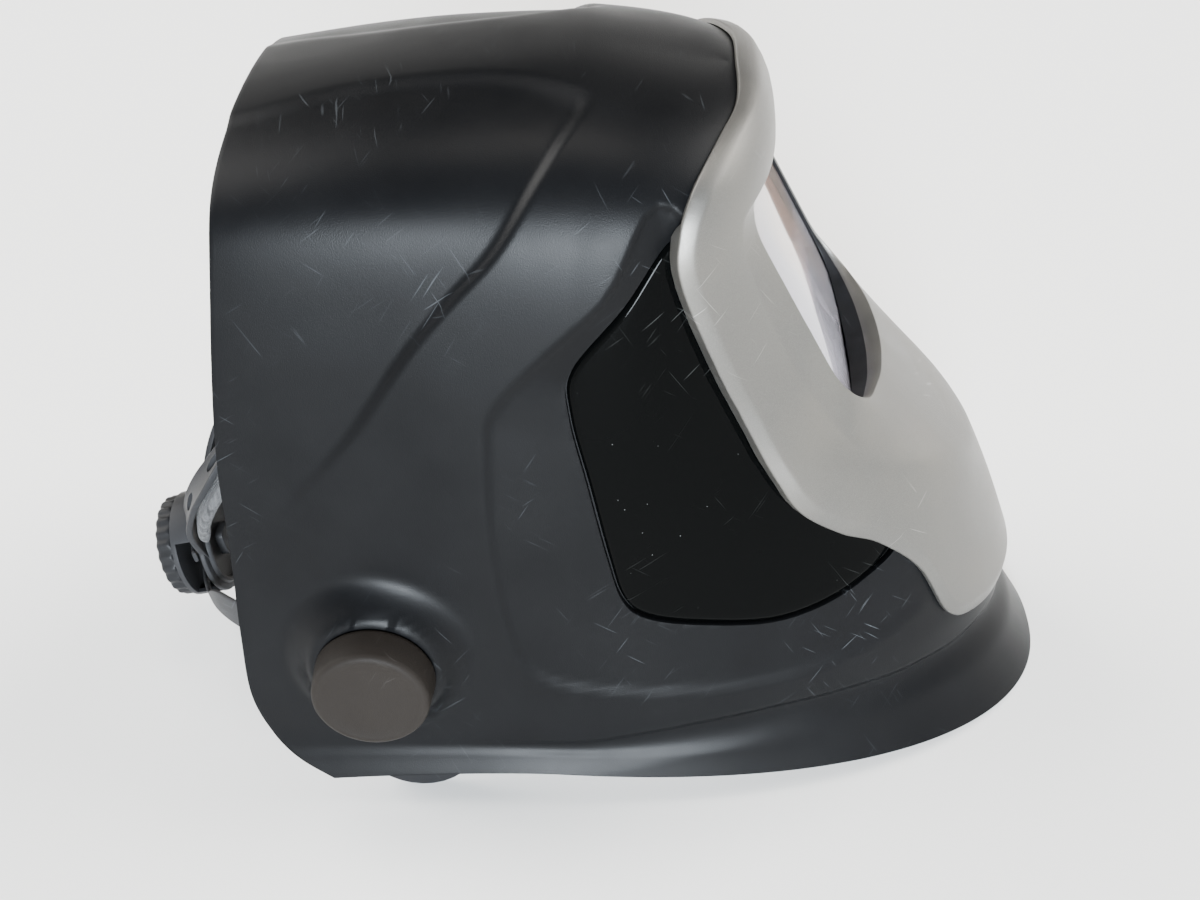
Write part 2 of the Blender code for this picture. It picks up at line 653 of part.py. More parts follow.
def make_rear(mats, tilt):
    """Tails, dial and nape cradle. Turning the dial winds both racks in and draws the cradle forwards."""
    for side, name in ((-1, "right"), (1, "left")):
        hinge = band_station(side * TAIL_TURN, 0.0, 0.0)[0]
        add_object(f"band_tail_{name}", ribbon(tail_stations(side), 1.6), mats["grey"], tilt, hinge)
    origin = dial_frame(0.0).to_translation()
    base = rod(DIAL_RADIUS, 2.2, dial_frame(-6.8), 40)
    cradle = add_object("nape_cradle", base, mats["grey"], tilt, origin)
    arch = whole_arch(CRADLE_ARCH)
    middle = harness(0, 6, 5)
    stations = [(harness(x, f, h), harness(x, f, h) - middle, 13.0) for x, f, h in arch]
    legs = add_object("cradle_legs", ribbon(stations, 2.2), None, tilt, origin)
    boolean(cradle, legs, "UNION")
    cover = add_object("dial_cover", rod(DIAL_RADIUS, 9.6, dial_frame(0.7), 40), mats["grey"], tilt, origin)
    cavity = rod(DIAL_RADIUS - 2.0, 10.6, dial_frame(-1.8), 40)
    boolean(cover, add_object("dial_cavity", cavity, None, tilt, origin))
    slot = box((80, 26, 10.6), dial_frame(-1.8))
    boolean(cover, add_object("rack_slot", slot, None, tilt, origin))
    hole = rod(2.4, 30, dial_frame(0.0), 16)
    boolean(cover, add_object("shaft_hole", hole, None, tilt, origin))
    grip = rod(DIAL_RADIUS - 1.0, 7.0, dial_frame(9.5), 40)
    knob = add_object("ratchet_knob", grip, mats["black"], tilt, origin)
    shaft = rod(2.0, 10.0, dial_frame(2.4), 16)
    boolean(knob, add_object("ratchet_shaft", shaft, None, tilt, origin), "UNION")
    teeth = []
    for i in range(24):
        radius = PINION_RADIUS if i % 2 else PINION_RADIUS - 0.9
        turn = 2 * math.pi * i / 24
        teeth.append((radius * math.cos(turn), radius * math.sin(turn)))
    bm = bmesh.new()
    loft(bm, [[dial_frame(out, v, u).to_translation() for u, v in teeth] for out in (-2.2, 2.2)])
    pinion = add_object("ratchet_pinion", bm, mats["black"], tilt, origin)
    boolean(pinion, bpy.data.objects["shaft_hole"])
    pad = []
    for x, f, h in arch[1:-1]:
        point = harness(x, f, h)
        outward = (point - middle).normalized()
        pad.append((point - outward * 6.8 * MM, outward, 20.0))
    rear_pad = add_object("nape_pad", ribbon(pad, 7.0), mats["pad"], tilt)
    bevel(rear_pad, 2.0, 2)


def main():
    clear_scene()
    mats = {
        "shell": material("satin_black_shell", (0.018, 0.019, 0.021), 0.34),
        "silver": material("silver_paint", (0.53, 0.51, 0.47), 0.32, 0.85),
        "clear": material("clear_polycarbonate", (0.93, 0.94, 0.95), 0.04, 0.0, 1.0),
        "filter": material("filter_glass", (0.16, 0.10, 0.17), 0.03, 0.4),
        "side_glass": material("dark_side_glass", (0.006, 0.008, 0.008), 0.04),
        "black": material("black_nylon", (0.02, 0.02, 0.022), 0.45),
        "grey": material("grey_nylon", (0.06, 0.06, 0.065), 0.5),
        "rubber": material("knob_black", (0.028, 0.024, 0.021), 0.62),
        "sensor": material("sensor_window", (0.05, 0.012, 0.02), 0.1),
        "steel": material("steel", (0.55, 0.55, 0.56), 0.3, 1.0),
        "cell": material("cell_steel", (0.62, 0.62, 0.6), 0.25, 1.0),
        "pad": material("pad_fabric", (0.03, 0.03, 0.033), 0.9),
    }
    frame = empty("shell_frame", FRAME_SHIFT, None, REST_TILT)
    tree = shell_tree()
    make_shell(mats["shell"], frame)
    make_side_windows(mats["side_glass"], tree, frame)
    make_front_cover(mats["silver"], tree, frame)
    make_filter(mats, frame)
    make_pivots(mats, frame)
    make_arms(mats, frame)
    make_band(mats, frame)
    make_rear(mats, frame)


main()
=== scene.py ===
"""Looks of the welding helmet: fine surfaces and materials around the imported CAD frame."""

import json
import math

import bmesh
import bpy
import numpy as np
from mathutils import Matrix, Vector
from mathutils.bvhtree import BVHTree

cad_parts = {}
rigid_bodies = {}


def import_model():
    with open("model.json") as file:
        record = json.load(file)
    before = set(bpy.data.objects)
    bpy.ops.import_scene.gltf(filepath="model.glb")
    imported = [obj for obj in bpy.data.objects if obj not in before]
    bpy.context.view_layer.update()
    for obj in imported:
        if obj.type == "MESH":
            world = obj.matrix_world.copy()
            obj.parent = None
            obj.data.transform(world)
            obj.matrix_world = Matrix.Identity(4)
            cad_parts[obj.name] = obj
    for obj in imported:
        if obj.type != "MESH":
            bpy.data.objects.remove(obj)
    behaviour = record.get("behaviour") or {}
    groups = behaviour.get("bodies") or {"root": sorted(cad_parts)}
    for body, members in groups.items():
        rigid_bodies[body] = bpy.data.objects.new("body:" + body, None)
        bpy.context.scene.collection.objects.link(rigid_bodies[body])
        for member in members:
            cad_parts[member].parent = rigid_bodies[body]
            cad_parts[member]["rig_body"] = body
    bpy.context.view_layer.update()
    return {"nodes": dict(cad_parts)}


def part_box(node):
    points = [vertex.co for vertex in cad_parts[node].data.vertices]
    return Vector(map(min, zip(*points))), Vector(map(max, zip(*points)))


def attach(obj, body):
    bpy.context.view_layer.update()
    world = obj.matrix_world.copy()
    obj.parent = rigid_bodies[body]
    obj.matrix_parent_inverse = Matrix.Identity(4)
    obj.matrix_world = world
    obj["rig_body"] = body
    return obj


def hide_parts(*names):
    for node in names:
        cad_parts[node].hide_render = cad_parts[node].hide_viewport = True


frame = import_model()

MM = 0.001

# Shell frame: millimetres as (x, forward, height), tilted a little about X where the helmet rests
REST_TILT = math.radians(4.1)
PIVOT = (-55.0, 51.0)

# Camera
CAMERA_PLACE = (-0.52101, -0.03407, 0.46073)
CAMERA_TURN = (54.614, 2.063, -88.048)
CAMERA_LENS = 48.0

# Shell surface
SHELL_WALL = 2.6
WIDEST_AT = 10.0
ROOF_EXPONENT = 2.6
ROOF_FRONT = (57.0, 241.0)
ROOF_PEAK = 247.0
ROOF_REAR = (-107.0, 228.0)
ROOF_SHARE = 0.22
ROOF_LEAN = -0.19
FRONT_SHARE = 0.62
REAR_TAPER = 7.0
# front (forward, height), side height, rear (forward, height), half width, squareness
LEVELS = np.array((
    (205, 0, 0, -74, -8, 104.0, 2.25),
    (195, 15, 6, -87, -1, 101.5, 2.20),
    (186, 32, 12, -96, 9, 99.5, 2.15),
    (182, 50, 30, -103, 28, 100.0, 2.10),
    (169, 79, 57, -105, 54, 100.0, 2.10),
    (154, 106, 83, -106, 80, 99.0, 2.05),
    (137, 127, 106, -107, 104, 98.2, 2.00),
    (117, 141, 122, -108, 121, 97.0, 2.10),
    (97, 162, 142, -108, 141, 95.0, 2.25),
    (82, 186, 166, -107, 165, 92.0, 2.35),
    (72, 206, 186, -106, 184, 88.7, 2.45),
    (71, 222, 205, -105, 203, 84.8, 2.60),
))
# Where along t the turn from the side into the roof is softened, and how much
SHOULDER = (0.56, 0.16)
SHOULDER_SOFTNESS = 0.0065
SKIN_ROWS = (118, 50)
SKIN_COLUMNS = (116, 72)
BASE_ROWS = (70, 30)
BASE_COLUMNS = (70, 42)

# Features of the shell's side
BOSS_SEAT = 108.0
BOSS_TOP_RADIUS = 23.6
BOSS_FOOT_RADIUS = 36.0
SIDE_RECESS = ((40, 222), (19, 193), (-13, 158), (-17, 138), (-14, 95), (-7, 60), (4, 44), (24, 39),
               (60, 38), (100, 42), (135, 53), (150, 66), (140, 90), (90, 150))
SIDE_WINDOW = ((41, 211), (26, 190), (10, 168), (10, 152), (17, 126), (25, 96), (31, 78), (40, 70),
               (60, 66), (90, 64), (116, 72), (131, 86), (118, 104), (82, 122), (62, 160), (48, 190))
GLASS_DEPTH = 5.2
RECESS_STEP = 1.3
GLASS_WALL = 2.2
# The two ridges round the sunk rear panel, as (forward, degrees up from the side about the long axis, depth,
# width of the drop, and how far behind it the panel takes to come back out)
ROOF_RIDGE = ((-200, 74, 0.6, 9, 40), (-108, 76, 1.0, 9, 40), (-76, 79, 1.3, 8, 42), (-50, 80, 1.5, 7, 44),
              (-20, 79.5, 1.7, 6, 44), (0, 77, 1.8, 6, 44), (20, 72, 1.8, 6, 44), (60, 56, 1.8, 6, 44))
SIDE_RIDGE = ((60, 112, 1.8, 6, 60), (26, 84, 1.8, 6, 60), (6, 67.5, 2.2, 5, 64), (-2, 61.0, 2.6, 4, 68),
              (-14, 52.6, 2.9, 3.2, 70), (-30, 45.6, 3.0, 3, 70), (-45, 37.2, 2.7, 3, 66),
              (-62, 23.5, 1.8, 4, 60),
              (-80, 10, 0.8, 7, 60), (-98, -4, 0.0, 12, 60), (-160, -60, 0.0, 12, 60))
RIDGE_AXIS_HEIGHT = 100.0
RIDGE_DEGREE = 2.0
# The fold between the body and its flared flange, as (forward, height, depth)
FOLD = ((-108, 3, 0.0), (-60, 8, 0.2), (-12, 11, 0.5), (21, 13, 0.9), (60, 22, 1.3), (90, 27, 1.6),
        (115, 29, 1.8),
        (140, 30, 2.0), (165, 32, 2.2), (182, 33, 2.2), (210, 33, 2.2))

# Front cover and filter
LENS_FOOT = (106.0, 138.0)
LENS_LEAN = math.radians(31.0)
WINDOW_MIDDLE = 40.0
PLATE_SIZE = (114.0, 102.0)
PLATE_WALL = 1.4
HOUSING_DEPTH = 20.0
GLASS_SIZE = (76.0, 54.0)
GLASS_RISE = 45.0
# A battery drawer's way out: its size, and its middle as rise, depth and distance from the centre
DRAWER_WAY = (14.0, 23.6, 6.8)
DRAWER_PLACE = (10.0, -13.7, 55.5)
GAP = 0.4
COVER_EDGE = ((0, 60, 241), (30, 60, 240), (50, 54, 236), (66, 48, 230), (74, 45, 224), (80, 43, 215),
              (84, 45, 200), (84, 60, 168), (84, 70, 150), (83, 82, 126), (82, 92, 111), (76, 107, 99),
              (70, 122, 91), (62, 140, 74), (55, 154, 48), (40, 166, 42), (20, 176, 42), (0, 180, 43))
COVER_CREASE = ((0, 76, 222), (22, 75, 221), (42, 70, 219), (55, 63, 216), (59, 60, 214), (61, 59, 211),
                (62, 60, 203), (62, 69, 184), (61, 80, 163), (60, 92, 143), (58, 105, 124), (54, 114, 115),
                (46, 124, 109), (36, 134, 104), (26, 144, 99), (18, 150, 95), (9, 154, 93), (0, 155, 92))
COVER_OPENING = ((0, 88, 15), (22, 88, 14), (40, 87, 9), (50, 84, 5), (52.5, 82, 4), (54, 79, 3),
                 (55, 72, 2.2),
                 (55, 52, 2), (55, 32, 2), (55, 14, 2.2), (54, 5, 4), (51, -1, 6), (46, -5, 8), (38, -7, 10),
                 (28, -9, 12), (19, -10, 13), (9, -11, 13.6), (0, -11, 13.8))
COVER_SAMPLES = 8

# Harness, measured from the tilt pivot
BAND_MIDDLE = (6.0, -6.5)
BAND_SLOPE = math.radians(14.8)
BAND_HALF_WIDTH = 76.0
BAND_HALF_LENGTH = 99.0
TAIL_TURN = math.radians(101.0)
RACK_LIFT = 6.8
CRADLE_ARCH = ((13, -85, -24), (18, -88, -12), (24, -87, 0), (29, -82, 14), (30, -74, 28), (23, -65, 41),
               (12, -58, 50), (0, -55, 53))
CROWN_TOPS = ((30.0, 104.0), (-28.0, 102.0))
CROWN_TURNS = (math.radians(56.0), math.radians(90.0))
KNOB_RADIUS = 21.5
KNOB_DEPTH = 14.0
DIAL_RADIUS = 22.0


def at(x, forward, height):
    """A point of the shell frame in metres."""
    return Vector((x, -forward, height)) * MM


def shell_frame():
    """The matrix from the shell frame to the row frame, set by where the CAD's knob sits."""
    low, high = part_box("pivot_knob_left")
    turn = Matrix.Rotation(REST_TILT, 4, "X")
    shift = (low + high) / 2 - turn @ at(0, *PIVOT)
    return Matrix.Translation((0, shift.y, shift.z)) @ turn


TO_WORLD = shell_frame()


# ---------------------------------------------------------------- materials


def node(mat, kind, settings=(), **inputs):
    """Adds a node, sets its properties and its inputs, and links an input whose value is a socket."""
    made = mat.node_tree.nodes.new(kind)
    for key, value in dict(settings).items():
        setattr(made, key, value)
    for key, value in inputs.items():
        socket = made.inputs[int(key[1:])] if key[0] == "i" and key[1:].isdigit() else made.inputs[key]
        if isinstance(value, bpy.types.NodeSocket):
            mat.node_tree.links.new(value, socket)
        else:
            socket.default_value = value
    return made


def new_material(name, roughness, metallic=0.0, **uniform):
    mat = bpy.data.materials.new(name)
    mat.use_nodes = True
    shader = mat.node_tree.nodes["Principled BSDF"]
    shader.inputs["Roughness"].default_value = roughness
    shader.inputs["Metallic"].default_value = metallic
    for key, value in uniform.items():
        shader.inputs[key.replace("_", " ")].default_value = value
    return mat, shader


def coordinates(mat, scale=(1, 1, 1), turn=(0, 0, 0)):
    source = node(mat, "ShaderNodeTexCoord").outputs["Object"]
    mapping = node(mat, "ShaderNodeMapping", {"vector_type": "TEXTURE"}, Vector=source)
    mapping.inputs["Scale"].default_value = [1 / s for s in scale]
    mapping.inputs["Rotation"].default_value = [math.radians(angle) for angle in turn]
    return mapping.outputs["Vector"]


def noise(mat, scale, detail=2.0, stretch=(1, 1, 1), turn=(0, 0, 0)):
    vector = coordinates(mat, [scale * s for s in stretch], turn)
    return node(mat, "ShaderNodeTexNoise", Vector=vector, Scale=1.0, Detail=detail).outputs["Fac"]


def remap(mat, value, low, high, to_low=0.0, to_high=1.0):
    made = node(mat, "ShaderNodeMapRange", Value=value)
    for i, number in enumerate((low, high, to_low, to_high), 1):
        made.inputs[i].default_value = number
    return made.outputs["Result"]


def maths(mat, operation, a, b):
    return node(mat, "ShaderNodeMath", {"operation": operation}, i0=a, i1=b).outputs[0]


def tint(mat, share, first, second):
    made = node(mat, "ShaderNodeMix", {"data_type": "RGBA"})
    mat.node_tree.links.new(share, made.inputs["Factor"])
    for name, value in (("A", first), ("B", second)):
        socket = next(s for s in made.inputs if s.name == name and s.type == "RGBA")
        if isinstance(value, bpy.types.NodeSocket):
            mat.node_tree.links.new(value, socket)
        else:
            socket.default_value = (*value, 1.0)
    return next(s for s in made.outputs if s.type == "RGBA")


def bump(mat, shader, height, distance, strength=1.0):
    made = node(mat, "ShaderNodeBump", Height=height, Distance=distance, Strength=strength)
    mat.node_tree.links.new(made.outputs["Normal"], shader.inputs["Normal"])


def scratches(mat, amount):
    """Short fine lines in a few directions, gathered in worn patches."""
    total = None
    for turn in ((33, 12, 0), (56, -12, 8), (122, 8, -10), (148, -6, 12)):
        line = remap(mat, noise(mat, 1.0, 0.0, (55, 55, 1700), turn), 0.80, 0.85)
        total = line if total is None else maths(mat, "MAXIMUM", total, line)
    patches = remap(mat, noise(mat, 15.0, 3.0), 0.48, 0.70, 0.0, amount)
    return maths(mat, "MULTIPLY", total, patches)


def moulded(name, colour, roughness, grain=0.00006, wear=0.0, worn=(0.16, 0.17, 0.18), warm=None):
    """Moulded plastic: a fine spark-eroded grain, uneven gloss and, where it's handled, scratches."""
    mat, shader = new_material(name, roughness, Specular_IOR_Level=0.07)
    links = mat.node_tree.links
    patchy = noise(mat, 30.0, 4.0)
    base = tint(mat, patchy, colour, warm or [c * 1.25 + 0.001 for c in colour])
    rough = remap(mat, patchy, 0.3, 0.7, roughness - 0.03, roughness + 0.05)
    if wear:
        marks = scratches(mat, wear)
        base = tint(mat, marks, base, worn)
        rough = maths(mat, "ADD", rough, maths(mat, "MULTIPLY", marks, 0.2))
    links.new(base, shader.inputs["Base Color"])
    links.new(rough, shader.inputs["Roughness"])
    bump(mat, shader, noise(mat, 2400.0, 2.0), grain)
    return mat


def silver_paint():
    """Silver paint on plastic: fine flakes, a soft sheen and a few rubbed places."""
    mat, shader = new_material("silver_paint", 0.38, 0.75)
    links = mat.node_tree.links
    cells = node(mat, "ShaderNodeTexVoronoi", Vector=coordinates(mat), Scale=5200.0)
    flakes = remap(mat, cells.outputs["Distance"], 0.1, 0.7)
    cloudy = noise(mat, 26.0, 5.0)
    base = tint(mat, flakes, (0.074, 0.071, 0.066), (0.122, 0.118, 0.109))
    base = tint(mat, remap(mat, cloudy, 0.45, 0.8, 0.0, 0.35), base, (0.17, 0.155, 0.13))
    marks = scratches(mat, 0.5)
    base = tint(mat, marks, base, (0.38, 0.37, 0.355))
    links.new(base, shader.inputs["Base Color"])
    links.new(remap(mat, cloudy, 0.3, 0.7, 0.34, 0.46), shader.inputs["Roughness"])
    bump(mat, shader, flakes, 0.00002)
    return mat


def dark_glass():
    """Shade 5 side window: almost black, glossy, with a few light scratches and dust specks."""
    mat, shader = new_material("dark_side_glass", 0.03, Specular_IOR_Level=0.03, IOR=1.5)
    links = mat.node_tree.links
    specks = node(mat, "ShaderNodeTexVoronoi", Vector=coordinates(mat), Scale=260.0)
    dust = remap(mat, specks.outputs["Distance"], 0.06, 0.04)
    dust = maths(mat, "MULTIPLY", dust, remap(mat, noise(mat, 60.0), 0.55, 0.6))
    marks = maths(mat, "MAXIMUM", scratches(mat, 0.12), maths(mat, "MULTIPLY", dust, 0.3))
    base = tint(mat, marks, (0.0008, 0.0009, 0.0009), (0.20, 0.21, 0.20))
    links.new(base, shader.inputs["Base Color"])
    links.new(remap(mat, marks, 0.0, 1.0, 0.03, 0.4), shader.inputs["Roughness"])
    return mat


def clear_plate():
    """Clear polycarbonate with faint smears, and a pale lavender and peach colour in patches that is a
    painted reflection.
    """
    mat, shader = new_material("clear_polycarbonate", 0.04, Transmission_Weight=0.76, IOR=1.68)
    smears = noise(mat, 14.0, 4.0, (1, 0.4, 2.0))
    mat.node_tree.links.new(remap(mat, smears, 0.35, 0.75, 0.015, 0.10), shader.inputs["Roughness"])
    # pale lavender and peach patches in the colour: a painted reflection
    patches = remap(mat, noise(mat, 17.0, 1.0), 0.45, 0.62)
    painted_reflection_tint = tint(mat, patches, (0.83, 0.81, 0.90), (0.90, 0.77, 0.70))
    mat.node_tree.links.new(painted_reflection_tint, shader.inputs["Base Color"])
    return mat


def filter_mirror():
    """The coated face of the filter: a purple interference mirror, with peach bands in its colour that are a
    painted reflection.
    """
    mat, shader = new_material("filter_glass", 0.06, 0.85)
    painted_reflection_bands = noise(mat, 11.0, 1.0, (1, 1, 0.6), (20, 30, 0))
    # lavender coating colour with peach bands: the peach is a painted reflection
    base = tint(mat, remap(mat, painted_reflection_bands, 0.35, 0.65), (0.66, 0.60, 0.74), (0.84, 0.62, 0.52))
    mat.node_tree.links.new(base, shader.inputs["Base Color"])
    return mat


def sensor_window():
    mat, shader = new_material("sensor_window", 0.08, IOR=1.5)
    base = tint(mat, noise(mat, 120.0), (0.045, 0.010, 0.018), (0.07, 0.014, 0.026))
    mat.node_tree.links.new(base, shader.inputs["Base Color"])
    return mat


def metal(name, colour, roughness):
    """Turned and plated metal with a fine lay."""
    mat, shader = new_material(name, roughness, 1.0)
    lay = noise(mat, 900.0, 2.0, (0.15, 1, 1))
    links = mat.node_tree.links
    links.new(remap(mat, lay, 0.3, 0.7, roughness - 0.07, roughness + 0.09), shader.inputs["Roughness"])
    links.new(tint(mat, lay, [c * 0.82 for c in colour], colour), shader.inputs["Base Color"])
    bump(mat, shader, lay, 0.00001)
    return mat


def knitted(name, colour, light):
    """Knitted cover cloth over foam: small rows of loops with a little fuzz."""
    mat, shader = new_material(name, 0.92, Sheen_Weight=0.12, Sheen_Roughness=0.5)
    links = mat.node_tree.links
    rows = []
    for turn in ((0, 0, 0), (0, 0, 90), (90, 0, 0)):
        wave = node(mat, "ShaderNodeTexWave", Vector=coordinates(mat, turn=turn), Scale=170.0, Distortion=1.2)
        wave.inputs["Detail Scale"].default_value = 90.0
        rows.append(wave.outputs["Fac"])
    loops = maths(mat, "MULTIPLY", maths(mat, "ADD", rows[0], rows[1]), rows[2])
    links.new(tint(mat, loops, colour, light), shader.inputs["Base Color"])
    height = maths(mat, "ADD", loops, maths(mat, "MULTIPLY", noise(mat, 1500.0, 3.0), 0.6))
    bump(mat, shader, height, 0.00035)
    return mat


def make_materials():
    return {
        "satin_black_shell": moulded("satin_black_shell", (0.0020, 0.0021, 0.0024), 0.36, 0.00005, 0.26,
                                     (0.12, 0.13, 0.14)),
        "silver_paint": silver_paint(),
        "clear_polycarbonate": clear_plate(),
        "filter_glass": filter_mirror(),
        "dark_side_glass": dark_glass(),
        "black_nylon": moulded("black_nylon", (0.008, 0.008, 0.0085), 0.42, 0.00005, 0.3),
        "grey_nylon": moulded("grey_nylon", (0.014, 0.014, 0.0148), 0.46, 0.00006, 0.3),
        "knob_black": moulded("knob_black", (0.0070, 0.0058, 0.0049), 0.56, 0.00010, 0.35,
                              (0.08, 0.075, 0.07), (0.012, 0.010, 0.0085)),
        "sensor_window": sensor_window(),
        "steel": metal("steel", (0.60, 0.60, 0.61), 0.30),
        "cell_steel": metal("cell_steel", (0.66, 0.66, 0.64), 0.24),
        "pad_fabric": knitted("pad_fabric", (0.009, 0.009, 0.0095), (0.026, 0.026, 0.028)),
    }


MATS = make_materials()


# ---------------------------------------------------------------- piece helpers


def settle(obj, body, stands_for=(), angle=38.0):
    """Smooths a finished mesh up to its sharp edges and ties the piece to its body."""
    obj.data.transform(obj.matrix_world)
    obj.matrix_world = Matrix.Identity(4)
    obj.data.shade_smooth()
    obj.data.set_sharp_from_angle(angle=math.radians(angle))
    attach(obj, body)
    if stands_for:
        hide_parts(*stands_for)
    return obj


def object_of(name, mesh, slot, place=None):
    obj = bpy.data.objects.new(name, mesh)
    bpy.context.scene.collection.objects.link(obj)
    obj.matrix_world = TO_WORLD if place is None else place
    mesh.materials.append(MATS[slot])
    bpy.context.view_layer.update()
    return obj


def object_from_bmesh(name, bm, slot):
    bmesh.ops.recalc_face_normals(bm, faces=bm.faces)
    mesh = bpy.data.meshes.new(name)
    bm.to_mesh(mesh)
    bm.free()
    return object_of(name, mesh, slot)


def applied(obj):
    """Replaces an object's mesh by its evaluated one and drops the modifiers."""
    graph = bpy.context.evaluated_depsgraph_get()
    mesh = bpy.data.meshes.new_from_object(obj.evaluated_get(graph), depsgraph=graph)
    obj.modifiers.clear()
    obj.data = mesh
    return obj


def cut(obj, cutters, operation="DIFFERENCE", solver="MANIFOLD"):
    """Cuts an object with closed cutters and removes them."""
    for cutter in cutters:
        modifier = obj.modifiers.new("cut", "BOOLEAN")
        modifier.operation = operation
        modifier.object = cutter
        modifier.solver = solver
    applied(obj)
    for cutter in cutters:
        bpy.data.objects.remove(cutter)
    return obj


def rounded_edges(obj, width, segments=2, angle=50.0):
    modifier = obj.modifiers.new("edges", "BEVEL")
    modifier.width = width * MM
    modifier.segments = segments
    modifier.limit_method = "ANGLE"
    modifier.angle_limit = math.radians(angle)
    modifier.harden_normals = False
    return applied(obj)


def loft(bm, rings, closed_path=False, cap=True):
    """Joins closed rings of points, in order, and closes both ends."""
    made = [[bm.verts.new(point) for point in ring] for ring in rings]
    count = len(made[0])
    pairs = list(zip(made, made[1:]))
    if closed_path:
        pairs.append((made[-1], made[0]))
    for lower, upper in pairs:
        for i in range(count):
            j = (i + 1) % count
            bm.faces.new((lower[i], lower[j], upper[j], upper[i]))
    if cap and not closed_path:
        bm.faces.new(list(reversed(made[0])))
        bm.faces.new(made[-1])
    return made


def rounded_rectangle(width, height, radius, steps=6):
    """The outline of a rectangle with round corners, as (x, y)."""
    points = []
    for corner in range(4):
        cx = (width / 2 - radius) * (1 if corner in (0, 3) else -1)
        cy = (height / 2 - radius) * (1 if corner in (0, 1) else -1)
        for i in range(steps + 1):
            turn = math.pi / 2 * (corner + i / steps)
            points.append((cx + radius * math.cos(turn), cy + radius * math.sin(turn)))
    return points


def slab(name, size, radius, place, slot, edge=0.6, steps=6):
    """A plate with round corners and softened edges, centred on a frame matrix."""
    width, height, depth = size
    bm = bmesh.new()
    rings = []
    for level, inset in ((-1, 1.0), (-1, 0.3), (-1, 0.0), (1, 0.0), (1, 0.3), (1, 1.0)):
        z = level * (depth / 2 - (0.0 if inset == 1.0 else edge * (0.3 if inset else 1.0)))
        less = 2 * edge * inset
        outline = rounded_rectangle(width - less, height - less, max(radius - edge * inset, 0.2), steps)
        rings.append([place @ Vector((x * MM, y * MM, z * MM)) for x, y in outline])
    loft(bm, rings)
    return object_from_bmesh(name, bm, slot)


def turned(name, profile, place, slot, count=64, wobble=None):
    """A solid of revolution about the frame's Z, from a profile of (radius, z)."""
    bm = bmesh.new()
    rings = []
    for radius, z in profile:
        ring = []
        for i in range(count):
            turn = 2 * math.pi * i / count
            r = radius + (wobble(turn, radius, z) if wobble else 0.0)
            ring.append(place @ (Vector((r * math.cos(turn), r * math.sin(turn), z)) * MM))
        rings.append(ring)
    loft(bm, rings)
    return object_from_bmesh(name, bm, slot)


def refined(cad_name, slot, width=0.4, segments=2, angle=40.0):
    """A copy of a plain CAD node with its flat faces joined and its edges rounded."""
    source = frame["nodes"][cad_name]
    bm = bmesh.new()
    bm.from_mesh(source.data)
    bmesh.ops.remove_doubles(bm, verts=bm.verts, dist=1e-6)
    bmesh.ops.dissolve_limit(bm, angle_limit=math.radians(1.5), verts=bm.verts, edges=bm.edges)
    sharp = [e for e in bm.edges if len(e.link_faces) == 2 and e.calc_face_angle(0) > math.radians(angle)]
    bmesh.ops.bevel(
        bm, geom=sharp, offset=width * MM, segments=segments, profile=0.5, affect="EDGES", clamp_overlap=True,
    )
    bmesh.ops.recalc_face_normals(bm, faces=bm.faces)
    mesh = bpy.data.meshes.new(cad_name + "_fine")
    bm.to_mesh(mesh)
    bm.free()
    obj = object_of(cad_name + "_fine", mesh, slot, Matrix.Identity(4))
    return settle(obj, source["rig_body"], [cad_name])


# ---------------------------------------------------------------- curves and distances


def smooth(value):
    value = np.clip(value, 0.0, 1.0)
    return value * value * (3 - 2 * value)


def catmull(a, b, c, d, u):
    return b + 0.5 * u * (c - a + u * (2 * a - 5 * b + 4 * c - d + u * (3 * (b - c) + d - a)))


def spline(points, per, closed=False):
    """A smooth curve through points, with a number of samples for each stretch."""
    points = np.array(points, float)
    count = len(points)
    found = []
    for i in range(count if closed else count - 1):
        near = [(i + k) % count if closed else min(max(i + k, 0), count - 1) for k in (-1, 0, 1, 2)]
        for j in range(per):
            found.append(catmull(*(points[k] for k in near), j / per))
    if not closed:
        found.append(points[-1])
    return np.array(found)


def to_line(a, b, line):
    """For points (a, b): the distance to an open line, the place along it in its points, and the side."""
    best = np.full(a.shape, 1e9)
    along = np.zeros(a.shape)
    side = np.ones(a.shape)
    for k, (start, end) in enumerate(zip(line, line[1:])):
        d0, d1 = end - start
        share = np.clip(((a - start[0]) * d0 + (b - start[1]) * d1) / (d0 * d0 + d1 * d1), 0, 1)
        distance = np.hypot(a - start[0] - share * d0, b - start[1] - share * d1)
        near = distance < best
        best = np.where(near, distance, best)
        along = np.where(near, k + share, along)
        side = np.where(near, np.sign(d0 * (b - start[1]) - d1 * (a - start[0])), side)
    return best, along, side


def inside_distance(a, b, outline):
    """Signed distance to a closed outline, positive inside."""
    closed = np.vstack([outline, outline[:1]])
    distance = to_line(a, b, closed)[0]
    inside = np.zeros(a.shape, bool)
    for (a1, b1), (a2, b2) in zip(closed, closed[1:]):
        crosses = (b1 > b) != (b2 > b)
        slope = (a2 - a1) / (b2 - b1 if b2 != b1 else 1e-9)
        inside ^= crosses & (a < a1 + (b - b1) * slope)
    return np.where(inside, distance, -distance)


# ---------------------------------------------------------------- shell


